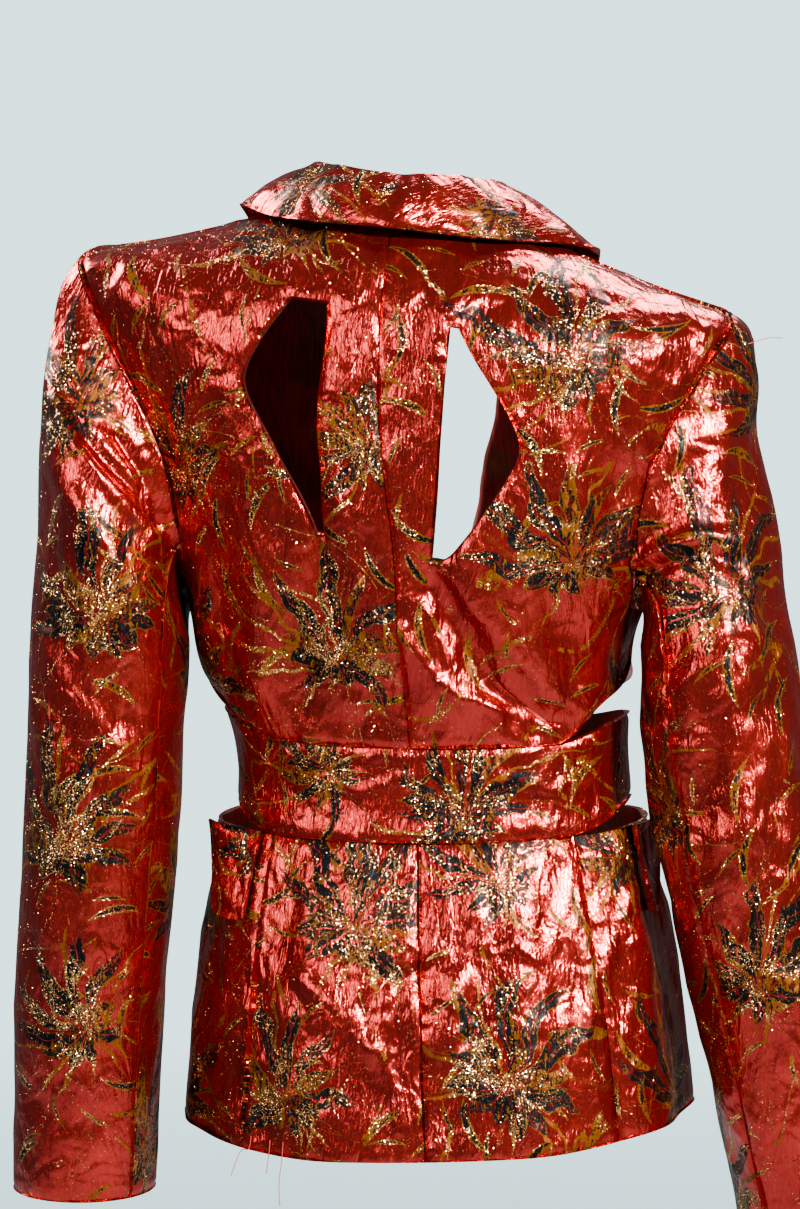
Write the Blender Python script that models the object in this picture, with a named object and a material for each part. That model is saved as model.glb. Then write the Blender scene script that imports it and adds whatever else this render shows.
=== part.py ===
"""Fitted jacket with a cut-out back, a separate waistband and a short flared skirt piece.

Every piece of cloth is a thin closed wall. The body panels are patches of one hollow form,
which is a table of rings from the neck to the hem. A place on the form is an angle, 0 at the
centre back and 180 at the centre front, positive on the wearer's left, and a level, the
distance down the garment. The back faces +Y, and the wearer's left is +X.
"""
import math

import bmesh
import bpy
import numpy as np

CLOTH = 0.002
FRONT_CLOTH = 0.0018
SLEEVE_CLOTH = 0.0016
SLEEVE_GAP = 0.0006
SEAM_GAP = 0.0003
COLLECTION_NAME = "Blazer"
SMALL_ANGLE = 0.8
SMALL_LEVEL = 0.002
SHARP_ANGLE = 50.0

# Rings of the body: level, height of the ring at the back, side and front, half width,
# depth behind and before the ring's middle, squareness, and the middle's place along Y.
BODY_RINGS = (
    (0.000, +0.010, +0.009, -0.070, 0.0700, 0.060, 0.056, 2.0, -0.012),
    (0.020, -0.006, -0.008, -0.085, 0.1100, 0.074, 0.068, 2.1, -0.008),
    (0.040, -0.026, -0.024, -0.104, 0.1610, 0.084, 0.080, 2.2, -0.004),
    (0.060, -0.050, -0.038, -0.122, 0.2125, 0.091, 0.088, 2.3, +0.000),
    (0.080, -0.074, -0.060, -0.140, 0.2120, 0.095, 0.096, 2.4, +0.000),
    (0.120, -0.120, -0.113, -0.160, 0.1940, 0.099, 0.108, 2.4, +0.000),
    (0.160, -0.160, -0.157, -0.180, 0.1760, 0.100, 0.116, 2.4, +0.000),
    (0.200, -0.200, -0.200, -0.208, 0.1600, 0.098, 0.120, 2.4, +0.000),
    (0.250, -0.250, -0.250, -0.250, 0.1435, 0.092, 0.114, 2.3, -0.001),
    (0.290, -0.290, -0.290, -0.290, 0.1370, 0.086, 0.102, 2.3, -0.002),
    (0.324, -0.324, -0.320, -0.318, 0.1270, 0.082, 0.094, 2.3, -0.003),
    (0.352, -0.352, -0.348, -0.346, 0.1255, 0.082, 0.092, 2.3, -0.003),
    (0.380, -0.380, -0.376, -0.374, 0.1285, 0.086, 0.094, 2.3, -0.002),
    (0.420, -0.420, -0.418, -0.416, 0.1390, 0.096, 0.100, 2.25, 0.000),
    (0.470, -0.470, -0.469, -0.468, 0.1500, 0.108, 0.108, 2.2, +0.002),
    (0.580, -0.580, -0.580, -0.580, 0.1635, 0.122, 0.120, 2.2, +0.004),
)
# How the body is turned in its pose: level, rise to the wearer's left for each metre of
# width, turn about Z in degrees, and shift along X.
POSE_ROWS = (
    (0.00, 0.098, 9.5, 0.010),
    (0.10, 0.088, 10.0, 0.009),
    (0.20, 0.055, 11.0, 0.003),
    (0.27, 0.020, 10.5, 0.0065),
    (0.32, 0.000, 9.0, -0.003),
    (0.45, -0.020, 6.0, -0.008),
    (0.58, -0.033, 4.0, -0.010),
)

# The back's middle seam bends a little to the wearer's right at the waist: level, angle.
CENTRE_SEAM = (
    (0.000, 0.0),
    (0.170, 0.0),
    (0.220, -1.8),
    (0.270, -3.4),
    (0.324, 0.0),
)

# The armhole is an oval on the form, about an angle of 90.
ARMHOLE_TOP = 0.054
ARMHOLE_BOTTOM = 0.238
ARMHOLE_REACH_BACK = 35.0
ARMHOLE_REACH_FRONT = 30.0
ARMHOLE_SQUARENESS = 0.75
ARMHOLE_STEPS = 16
SMALL_TURN = 0.005

# Cut-outs of the back: level, then the angles of the inner and outer edge on each side.
CUTOUT_LEFT = (
    (0.060, 9.4, 15.6),
    (0.080, 9.3, 20.0),
    (0.097, 10.6, 23.9),
    (0.110, 11.6, 26.0),
    (0.131, 12.8, 23.2),
    (0.154, 13.0, 20.6),
    (0.178, 14.0, 17.2),
    (0.193, 14.6, 16.2),
)
CUTOUT_RIGHT = (
    (0.067, 10.9, 12.2),
    (0.084, 10.7, 15.2),
    (0.103, 10.6, 20.3),
    (0.128, 10.4, 25.8),
    (0.142, 10.3, 24.8),
    (0.163, 10.1, 21.6),
    (0.187, 9.6, 16.8),
    (0.204, 9.4, 12.6),
)

# Edges at the waist: angle, level of the bodice's lower edge on the left and on the right,
# levels of the band's upper and lower edge. Up to 45 degrees the band is sewn on.
WAIST_EDGES = (
    (0.0, 0.3240, 0.3240, 0.3240, 0.3820),
    (45.0, 0.3240, 0.3240, 0.3240, 0.3820),
    (52.5, 0.3170, 0.3100, 0.3205, 0.3795),
    (60.0, 0.3110, 0.2970, 0.3170, 0.3760),
    (67.5, 0.3040, 0.2910, 0.3140, 0.3725),
    (75.0, 0.2940, 0.2860, 0.3120, 0.3695),
    (82.5, 0.2820, 0.2790, 0.3110, 0.3675),
    (90.0, 0.2720, 0.2720, 0.3105, 0.3665),
)
BAND_TOP = 0.3240
BAND_BOTTOM = 0.3820
BAND_ROWS = 3
HEM = 0.5740
HEM_SIDE_RISE = 0.008
HEM_SIDE_ANGLES = (20.0, 70.0)
HEM_FRONT_RISE = 0.014
HEM_FRONT_ANGLES = (164.0, 184.0)
SIDE_BACK_ANGLE = 45.0
FRONT_SEAM_ANGLE = 112.5

# The skirt piece's upper edge stands off at the sides: level, distance off.
FLARE_ROWS = (
    (0.382, 0.0110),
    (0.400, 0.0065),
    (0.440, 0.0035),
    (0.500, 0.0020),
    (0.580, 0.0010),
)
RIGHT_FLARE = 0.70
PEPLUM_ROWS = 7
FLARE_STARTS = (47.0, 66.0)
FLARE_ENDS = (112.0, 140.0)

# Folds of the cloth, each a path of angles and levels, its half width, and its height, which
# is negative for a trough.
BODICE_FOLDS = (
    (((-11.0, 0.212), (-18.0, 0.242), (-26.0, 0.274), (-42.0, 0.319)), 0.013, -0.0100),
    (((-16.0, 0.200), (-24.0, 0.232), (-33.0, 0.262), (-46.0, 0.296)), 0.014, +0.0065),
    (((-2.0, 0.250), (-12.0, 0.286), (-26.0, 0.304)), 0.010, +0.0040),
    (((15.0, 0.200), (20.0, 0.250), (28.0, 0.296)), 0.011, -0.0045),
    (((24.0, 0.190), (32.0, 0.240), (40.0, 0.285)), 0.012, +0.0040),
    (((52.0, 0.140), (46.0, 0.200), (40.0, 0.260)), 0.012, -0.0040),
    (((-50.0, 0.140), (-46.0, 0.190), (-45.0, 0.240)), 0.012, -0.0040),
    (((112.0, 0.215), (118.0, 0.250), (128.0, 0.290)), 0.012, -0.0040),
    (((-112.0, 0.215), (-118.0, 0.250), (-128.0, 0.290)), 0.012, -0.0040),
)
PEPLUM_FOLDS = (
    (((-62.0, 0.400), (-57.0, 0.560)), 0.014, +0.0070),
    (((-80.0, 0.410), (-78.0, 0.570)), 0.013, -0.0060),
    (((66.0, 0.440), (64.0, 0.570)), 0.014, -0.0045),
    (((22.0, 0.430), (24.0, 0.574)), 0.015, +0.0035),
    (((-24.0, 0.430), (-27.0, 0.574)), 0.015, +0.0035),
    (((95.0, 0.430), (98.0, 0.570)), 0.015, +0.0050),
    (((-98.0, 0.430), (-100.0, 0.570)), 0.015, +0.0050),
    (((140.0, 0.430), (142.0, 0.560)), 0.015, +0.0040),
    (((-140.0, 0.430), (-142.0, 0.560)), 0.015, +0.0040),
)

# Levels between which the folds fade at the band.
BODICE_FOLDS_END = (0.312, 0.322)
PEPLUM_FOLDS_START = (0.386, 0.440)
# Width of a degree on the form, near enough for the folds.
METRES_PER_DEGREE = 0.0023

# Sleeves: height of the ring's middle, its X and Y, half width, half depth.
LEFT_SLEEVE = (
    (-0.124, 0.1925, 0.002, 0.0500, 0.0630),
    (-0.190, 0.1965, 0.002, 0.0500, 0.0620),
    (-0.260, 0.1995, 0.002, 0.0500, 0.0590),
    (-0.370, 0.2050, 0.000, 0.0500, 0.0560),
    (-0.500, 0.2150, -0.008, 0.0480, 0.0530),
    (-0.622, 0.2200, -0.020, 0.0460, 0.0500),
)
RIGHT_SLEEVE = (
    (-0.135, -0.1600, 0.022, 0.0500, 0.0620),
    (-0.200, -0.1700, 0.036, 0.0500, 0.0600),
    (-0.270, -0.1840, 0.056, 0.0500, 0.0570),
    (-0.340, -0.1880, 0.064, 0.0515, 0.0560),
    (-0.426, -0.2055, 0.065, 0.0515, 0.0545),
    (-0.523, -0.2285, 0.058, 0.0510, 0.0525),
    (-0.630, -0.2500, 0.048, 0.0490, 0.0500),
)
# The ring below the sleeve's head is slanted, up on the outside and down under the arm.
HEAD_RING_MIDDLE = -0.200
HEAD_RING_SLANT = 0.068
HEAD_SHARE = 0.17
HEAD_ROWS = 6
ARM_ROWS = 10
# Share of the length over which the rings' slant dies out.
HEAD_RING_SLANT_END = 0.75
# How far the sleeve leaves the armhole along the body, under the arm and more on the shoulder.
SLEEVE_FOLLOWS = (0.35, 0.35)
SLEEVE_FOLDS_START = (0.05, 0.16)
SLEEVE_HEAD_PUSH = 0.060
UNDERARM_PUSH = 0.020
SLEEVE_HEAD_DROP = 0.135
UNDERARM_DROP = 0.030
SLEEVE_SEAM_TURNS = (0.365, 0.720)
# Folds of a sleeve, each a path of turns round it and shares of its length, its half width
# and its height, which is negative for a trough.
LEFT_SLEEVE_FOLDS = (
    (((0.02, 0.24), (0.12, 0.26), (0.24, 0.31), (0.32, 0.37)), 0.011, -0.0085),
    (((0.00, 0.19), (0.12, 0.205), (0.20, 0.235)), 0.011, +0.0040),
    (((0.24, 0.50), (0.40, 0.47)), 0.011, -0.0045),
    (((0.62, 0.50), (0.86, 0.55)), 0.012, -0.0045),
    (((0.10, 0.72), (0.30, 0.76)), 0.012, -0.0030),
)
RIGHT_SLEEVE_FOLDS = (
    (((0.05, 0.25), (0.18, 0.32), (0.28, 0.355), (0.40, 0.370)), 0.013, +0.0080),
    (((0.08, 0.31), (0.20, 0.38), (0.30, 0.415), (0.42, 0.425)), 0.011, -0.0075),
    (((0.20, 0.56), (0.38, 0.60)), 0.012, -0.0045),
    (((0.62, 0.50), (0.86, 0.55)), 0.012, -0.0045),
)
SLEEVE_GIRTH = 0.34
SLEEVE_LENGTH = 0.60

# Collar: angle, height of the fold, and the outer edge's half width, depth and height.
COLLAR_ROWS = (
    (0.0, +0.0290, 0.1060, 0.0860, -0.0020),
    (45.0, +0.0310, 0.1070, 0.0800, -0.0030),
    (80.0, +0.0280, 0.1090, 0.0760, +0.0020),
    (100.0, +0.0170, 0.1110, 0.0760, -0.0040),
    (118.0, -0.0020, 0.1120, 0.0860, -0.0260),
)
COLLAR_FOLD_HALF_WIDTH = 0.0600
COLLAR_FOLD_BACK = 0.0640
COLLAR_FOLD_FRONT = 0.0560
COLLAR_END_ANGLE = 118.0
COLLAR_CLOTH = 0.0022
COLLAR_STEPS = 32
COLLAR_RISING_ROWS = 4
COLLAR_FALLING_ROWS = 5
COLLAR_ABOVE_NECK = 0.0009
COLLAR_FOLD_BACK_SHIFT = 0.014
COLLAR_EDGE_BACK_SHIFT = 0.010
# On the right the outer edge slips out and down the shoulder between these angles.
COLLAR_SLIP_ANGLES = (45.0, 85.0)
COLLAR_SLIP_OUT = 0.010
COLLAR_SLIP_DOWN = 0.0055
# The fold's section between stand and fall: distance out and up from the fold's line.
COLLAR_FOLD_SECTION = ((0.0, -0.0014), (0.0030, 0.0014), (0.0064, -0.0008))
# How far the middle of the fall swells out and up.
COLLAR_SWELL_OUT = 0.004
COLLAR_SWELL_UP = 0.007

# Lapel: share of the roll line from the neck down, width of the lapel.
LAPEL_ROWS = (
    (0.00, 0.062),
    (0.10, 0.088),
    (0.22, 0.088),
    (0.40, 0.077),
    (0.60, 0.059),
    (0.80, 0.034),
    (0.92, 0.015),
    (1.00, 0.003),
)
# The roll line crosses the centre front at its end: distance past it, left and right.
ROLL_CROSSING = (-0.004, 0.009)
LAPEL_SLANT = 0.60
LAPEL_RISE = 0.0046
LAPEL_END_RISE = 0.0023
LAPEL_ENDING = 0.85
LAPEL_COLUMNS = 5
# The turn at the roll line: degrees past it, and share of the lapel's rise.
ROLL_SECTION = ((0.9, 0.15), (1.4, 0.50), (0.9, 0.85))
# Share of one column at which the lapel's first column stands from the roll line.
LAPEL_FIRST_COLUMN = 0.35
BAND_OVERLAP = 0.0034
FRONT_OVERLAP = 0.0062
# The overlap comes up between these angles before the centre front.
OVERLAP_START = 160.0
OVERLAP_FULL = 171.0
# How far past the centre front the left and right ends of the band and skirt reach.
BAND_ENDS = (186.0, 187.0)
SKIRT_END = 185.0
ROLL_END_LEVEL = 0.306

# The flap lies on the skirt piece at its upper seam and stands off below it.
FLAP_SEAM_RISE = 0.0015
FLAP_SEAM_SHARE = 0.4
FLAP_RISE = 0.0034
FLAP_CORNER_RISE = 0.0050
FLAP_DEPTH = 0.053
FLAP_CELLS = (5, 6)
FLAP_LEFT_START = 49.0
FLAP_RIGHT_START = 67.5
FLAP_SPREAD = 22.5
FLAP_NARROWING = 9.0
BUTTON_RADIUS = 0.011
BUTTON_THICKNESS = 0.004
BUTTON_TAPER = 0.93
BUTTON_SIDES = 28

RED_CLOTH = (0.42, 0.02, 0.012, 1.0)
GOLD_CLOTH = (0.42, 0.19, 0.03, 1.0)


def smooth_table(rows):
    """Returns a function that reads every column of a table along a smooth curve."""
    table = np.array(rows, float)
    keys = table[:, 0]
    values = table[:, 1:]
    steps = np.diff(keys)[:, None]
    slopes = np.diff(values, axis=0) / steps
    inner = (slopes[:-1] * steps[1:] + slopes[1:] * steps[:-1]) / (steps[1:] + steps[:-1])
    tangents = np.vstack([slopes[:1], inner, slopes[-1:]])

    def read(key):
        key = min(max(key, keys[0]), keys[-1])
        i = min(int(np.searchsorted(keys, key, side="right")) - 1, len(keys) - 2)
        length = keys[i + 1] - keys[i]
        s = (key - keys[i]) / length
        start = (1 + 2 * s) * (1 - s) ** 2 * values[i] + s * (1 - s) ** 2 * length * tangents[i]
        end = s * s * (3 - 2 * s) * values[i + 1] + s * s * (s - 1) * length * tangents[i + 1]
        return start + end
    return read


def straight_table(rows):
    """Returns a function that reads every column of a table along straight lines."""
    table = np.array(rows, float)
    columns = range(1, table.shape[1])
    return lambda key: np.array([np.interp(key, table[:, 0], table[:, c]) for c in columns])


def ease(low, high, value):
    """Goes smoothly from 0 at low to 1 at high."""
    s = min(max((value - low) / (high - low), 0.0), 1.0)
    return s * s * (3 - 2 * s)


def unit(vector):
    return vector / (np.linalg.norm(vector) + 1e-12)


ring_at = smooth_table(BODY_RINGS)
centre_seam_at = smooth_table(CENTRE_SEAM)
pose_at = smooth_table(POSE_ROWS)
flare_at = smooth_table(FLARE_ROWS)
waist_edges_at = straight_table(WAIST_EDGES)
collar_at = smooth_table(COLLAR_ROWS)
lapel_width_at = smooth_table(LAPEL_ROWS)


def posed(x, y, z, level):
    """Turns, tilts and shifts a point of the upright body into the wearer's pose."""
    tilt, turn, shift = pose_at(level)
    cosine = math.cos(math.radians(turn))
    sine = math.sin(math.radians(turn))
    return np.array([x * cosine + y * sine + shift, y * cosine - x * sine, z + tilt * x])


def form_point(angle, level):
    back_z, side_z, front_z, half, back, front, power, middle_y = ring_at(level)
    sine = math.sin(math.radians(angle))
    cosine = math.cos(math.radians(angle))
    reach = (abs(sine) ** power + abs(cosine) ** power) ** (-1 / power)
    x = half * sine * reach
    y = (back if cosine > 0 else front) * cosine * reach + middle_y
    z = side_z + ((back_z if cosine > 0 else front_z) - side_z) * cosine * cosine
    return posed(x, y, z, level)


def surface_normal(surface, angle, level):
    """The way out of a surface, from places close round one place."""
    around = surface(angle + SMALL_ANGLE, level) - surface(angle - SMALL_ANGLE, level)
    upper = max(level - SMALL_LEVEL, 0.0)
    down = surface(angle, upper + 2 * SMALL_LEVEL) - surface(angle, upper)
    return unit(np.cross(around, down))


def form_normal(angle, level):
    """The direction straight out of the form."""
    return surface_normal(form_point, angle, level)


def fold_height(folds, across, along, across_size, along_size=1.0):
    """Sum of soft ridges and troughs, each a bell across its path and round at its ends."""
    total = 0.0
    here = np.array([across * across_size, along * along_size])
    for path, half_width, height in folds:
        places = np.array(path) * (across_size, along_size)
        nearest = 1.0
        for start, end in zip(places, places[1:]):
            run = end - start
            share = float(np.dot(here - start, run) / np.dot(run, run))
            foot = start + run * min(max(share, 0.0), 1.0)
            nearest = min(nearest, float(np.linalg.norm(here - foot)))
        total += height * math.exp(-(nearest / half_width) ** 2)
    return total


def front_angle(level, x):
    """The angle at which the front of the ring at a level is x from its middle."""
    half = ring_at(level)[3]
    power = ring_at(level)[6]
    share = min(abs(x) / half, 0.999)
    turned = math.degrees(math.atan2(share, (1 - share ** power) ** (1 / power)))
    return 180.0 - math.copysign(turned, x)


def bodice_point(angle, level, out=0.0):
    fade = 1.0 - ease(*BODICE_FOLDS_END, level)
    out += fade * fold_height(BODICE_FOLDS, angle, level, METRES_PER_DEGREE)
    return form_point(angle, level) + out * form_normal(angle, level)


def peplum_point(angle, level, out=0.0):
    size = abs(angle)
    flare = ease(*FLARE_STARTS, size) * (1.0 - ease(*FLARE_ENDS, size))
    if angle < 0:
        flare *= RIGHT_FLARE
    out += flare * flare_at(level)[0]
    start = ease(*PEPLUM_FOLDS_START, level)
    out += start * fold_height(PEPLUM_FOLDS, angle, level, METRES_PER_DEGREE)
    return form_point(angle, level) + out * form_normal(angle, level)


def band_point(angle, level, out=0.0):
    return form_point(angle, level) + out * form_normal(angle, level)


def overlap_rise(angle, height):
    """The right side passes over the left at the centre front."""
    return height * ease(OVERLAP_START, OVERLAP_FULL, -angle)


def armhole_place(turn, side):
    """Angle and level on the armhole. Turn 0 is the shoulder tip and 0.25 the back."""
    sine = math.sin(2 * math.pi * turn)
    reach = ARMHOLE_REACH_BACK if sine > 0 else ARMHOLE_REACH_FRONT
    angle = 90.0 - reach * math.copysign(abs(sine) ** ARMHOLE_SQUARENESS, sine)
    middle = (ARMHOLE_TOP + ARMHOLE_BOTTOM) / 2
    half = (ARMHOLE_BOTTOM - ARMHOLE_TOP) / 2
    return side * angle, middle - half * math.cos(2 * math.pi * turn)


def coons(top, bottom, left, right):
    """Fills the space between four edges, each a list of places, with a grid of places."""
    top, bottom, left, right = (np.array(edge, float) for edge in (top, bottom, left, right))
    u = np.linspace(0, 1, len(top))[None, :, None]
    v = np.linspace(0, 1, len(left))[:, None, None]
    rows = (1 - v) * top[None] + v * bottom[None]
    columns = (1 - u) * left[:, None] + u * right[:, None]
    ends = (1 - v) * ((1 - u) * top[0] + u * top[-1]) + v * ((1 - u) * bottom[0] + u * bottom[-1])
    return rows + columns - ends


def straight(start, end, steps):
    """Places on a straight line, both ends included."""
    return [np.array(start, float) + (np.array(end, float) - start) * i / steps
            for i in range(steps + 1)]


def join_paths(*paths):
    """One path from several that share their end places."""
    joined = list(paths[0])
    for path in paths[1:]:
        joined.extend(path[1:])
    return joined


def grid_normals(points):
    """Normals of a grid of points, each the mean of the faces that meet there."""
    down = points[1:, :-1] - points[:-1, :-1]
    across = points[:-1, 1:] - points[:-1, :-1]
    down_far = points[1:, 1:] - points[:-1, 1:]
    across_far = points[1:, 1:] - points[1:, :-1]
    faces = np.cross(down + down_far, across + across_far)
    faces /= np.linalg.norm(faces, axis=2, keepdims=True) + 1e-12
    total = np.zeros_like(points)
    for row in (0, 1):
        for column in (0, 1):
            rows = slice(row, row + faces.shape[0])
            columns = slice(column, column + faces.shape[1])
            total[rows, columns] += faces
    return total / (np.linalg.norm(total, axis=2, keepdims=True) + 1e-12)


def draw_in_edges(points, normals, distance):
    """Moves the rim of a grid of points inwards, which leaves half the gap of a seam."""
    rows, columns = points.shape[:2]
    moved = points.copy()
    for row in range(rows):
        for column in range(columns):
            shift = np.zeros(3)
            if row in (0, rows - 1):
                after = points[row, min(column + 1, columns - 1)]
                neighbours = after - points[row, max(column - 1, 0)]
                inwards = points[1 if row == 0 else rows - 2, column] - points[row, column]
                aside = unit(np.cross(neighbours, normals[row, column]))
                shift += aside * math.copysign(distance, float(np.dot(aside, inwards)))
            if column in (0, columns - 1):
                after = points[min(row + 1, rows - 1), column]
                neighbours = after - points[max(row - 1, 0), column]
                inwards = points[row, 1 if column == 0 else columns - 2] - points[row, column]
                aside = unit(np.cross(neighbours, normals[row, column]))
                shift += aside * math.copysign(distance, float(np.dot(aside, inwards)))
            moved[row, column] += shift
    return moved


def make_material(name, colour, roughness, metallic):
    material = bpy.data.materials.new(name)
    material.use_nodes = True
    shader = material.node_tree.nodes["Principled BSDF"]
    shader.inputs["Base Color"].default_value = colour
    shader.inputs["Roughness"].default_value = roughness
    shader.inputs["Metallic"].default_value = metallic
    return material


def add_object(name, bm, material, collection):
    bmesh.ops.recalc_face_normals(bm, faces=bm.faces[:])
    if bm.calc_volume(signed=True) < 0:
        bmesh.ops.reverse_faces(bm, faces=bm.faces[:])
    mesh = bpy.data.meshes.new(name)
    bm.to_mesh(mesh)
    bm.free()
    mesh.materials.append(material)
    mesh.shade_smooth()
    mesh.set_sharp_from_angle(angle=math.radians(SHARP_ANGLE))
    piece = bpy.data.objects.new(name, mesh)
    collection.objects.link(piece)
    return piece


def cloth_wall(name, points, material, collection, normals=None, hole=None, thickness=CLOTH,
               gap=SEAM_GAP):
    """Makes a closed thin wall through a grid of points, which lie in its middle.

    A hole is given as the first and last row and column of the cells that it takes.
    """
    rows, columns = points.shape[:2]
    if normals is None:
        normals = grid_normals(points)
    points = draw_in_edges(points, normals, gap / 2)
    bm = bmesh.new()
    bmesh.ops.create_grid(bm, x_segments=columns - 1, y_segments=rows - 1, size=0.5)
    bm.faces.ensure_lookup_table()
    places = {}
    for vertex in bm.verts:
        column = round((vertex.co.x + 0.5) * (columns - 1))
        row = round((vertex.co.y + 0.5) * (rows - 1))
        places[vertex] = (row, column)
    if hole:
        row0, row1, column0, column1 = hole
        cut = []
        for face in bm.faces:
            row = sum(places[v][0] for v in face.verts) / 4
            column = sum(places[v][1] for v in face.verts) / 4
            if row0 < row < row1 and column0 < column < column1:
                cut.append(face)
        bmesh.ops.delete(bm, geom=cut, context="FACES")
        places = {vertex: place for vertex, place in places.items() if vertex.is_valid}
    made = bmesh.ops.extrude_face_region(bm, geom=bm.faces[:], use_keep_orig=True)
    lifted = [item for item in made["geom"] if isinstance(item, bmesh.types.BMVert)]
    for vertex in lifted:
        column = round((vertex.co.x + 0.5) * (columns - 1))
        row = round((vertex.co.y + 0.5) * (rows - 1))
        vertex.co = points[row, column] + normals[row, column] * thickness / 2
    for vertex, (row, column) in places.items():
        vertex.co = points[row, column] - normals[row, column] * thickness / 2
    return add_object(name, bm, material, collection)


def panel(name, places, surface, material, collection, hole=None):
    """Makes a piece of the body from a grid of angles and levels."""
    rows, columns = places.shape[:2]
    points = np.zeros((rows, columns, 3))
    normals = np.zeros((rows, columns, 3))
    for row in range(rows):
        for column in range(columns):
            angle, level = places[row, column]
            points[row, column] = surface(angle, level, -CLOTH / 2)
            normals[row, column] = surface_normal(surface, angle, level)
    return cloth_wall(name, points, material, collection, normals, hole)


# Angles at which the columns stand, from the centre back to the side.
BACK_NODES = [5.0 * i for i in range(10)] + [52.5, 60.0, 67.5, 75.0, 82.5, 90.0]
NECK_STEPS = 6
SHOULDER_STEPS = len(BACK_NODES) - 1 - NECK_STEPS
SIDE_STEPS = 4
CUTOUT_COLUMNS = (2, 5)
CUTOUT_FIRST_ROW = 4
CUTOUT_CENTRE_LEVELS = (0.063, 0.198)


def waist_level(angle, side):
    levels = waist_edges_at(min(abs(angle), 180.0 - abs(angle)) if abs(angle) < 180 else 0.0)
    return levels[0] if side > 0 else levels[1]


def body_top(side, reach):
    """Neck edge and shoulder seam, from the centre back or from the roll line to the tip."""
    neck = [(side * (90.0 + reach * (1 - i / NECK_STEPS)), 0.0) for i in range(NECK_STEPS + 1)]
    shoulder = straight((side * 90.0, 0.0), (side * 90.0, ARMHOLE_TOP), SHOULDER_STEPS)
    return join_paths(neck, shoulder)


def body_side(side, front):
    """Armhole and side seam, from the shoulder tip to the waist."""
    direction = -1.0 if front else 1.0
    armhole = [armhole_place(direction * 0.5 * i / ARMHOLE_STEPS, side)
               for i in range(ARMHOLE_STEPS + 1)]
    seam = straight(armhole[-1], (side * 90.0, waist_level(90.0, side)), SIDE_STEPS)
    return join_paths(armhole, seam)


def back_panel(name, side, cutout, material, collection):
    """Half of the back, round its cut-out, as nine blocks less the middle one."""
    first, last = CUTOUT_COLUMNS
    row0 = CUTOUT_FIRST_ROW
    row1 = row0 + len(cutout) - 1
    top = body_top(side, -90.0)
    right = body_side(side, False)
    bottom = [(side * angle, waist_level(angle, side)) for angle in BACK_NODES]
    rows = len(right)
    columns = len(top)
    inner = [(side * row[1], row[0]) for row in cutout]
    outer = [(side * row[2], row[0]) for row in cutout]
    cut_top = straight(inner[0], outer[0], last - first)
    cut_bottom = straight(inner[-1], outer[-1], last - first)
    high, low = CUTOUT_CENTRE_LEVELS
    upper = join_paths(straight((0.0, high), inner[0], first), cut_top,
                       straight(outer[0], right[row0], columns - 1 - last))
    lower = join_paths(straight((0.0, low), inner[-1], first), cut_bottom,
                       straight(outer[-1], right[row1], columns - 1 - last))
    centre = join_paths(straight((0.0, 0.0), upper[0], row0),
                        straight(upper[0], lower[0], row1 - row0),
                        straight(lower[0], bottom[0], rows - 1 - row1))
    centre = [(centre_seam_at(level)[0], level) for _, level in centre]
    upper[0] = centre[row0]
    lower[0] = centre[row1]
    line_in = join_paths(straight(top[first], inner[0], row0), inner,
                         straight(inner[-1], bottom[first], rows - 1 - row1))
    line_out = join_paths(straight(top[last], outer[0], row0), outer,
                          straight(outer[-1], bottom[last], rows - 1 - row1))
    places = np.zeros((rows, columns, 2))
    across_lines = ((0, top), (row0, upper), (row1, lower), (rows - 1, bottom))
    down_lines = ((0, centre), (first, line_in), (last, line_out), (columns - 1, right))
    for (r0, edge_top), (r1, edge_bottom) in zip(across_lines, across_lines[1:]):
        for (c0, edge_left), (c1, edge_right) in zip(down_lines, down_lines[1:]):
            places[r0:r1 + 1, c0:c1 + 1] = coons(
                edge_top[c0:c1 + 1], edge_bottom[c0:c1 + 1],
                edge_left[r0:r1 + 1], edge_right[r0:r1 + 1])
    hole = (row0, row1, first, last)
    return panel(name, places, bodice_point, material, collection, hole)


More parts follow.
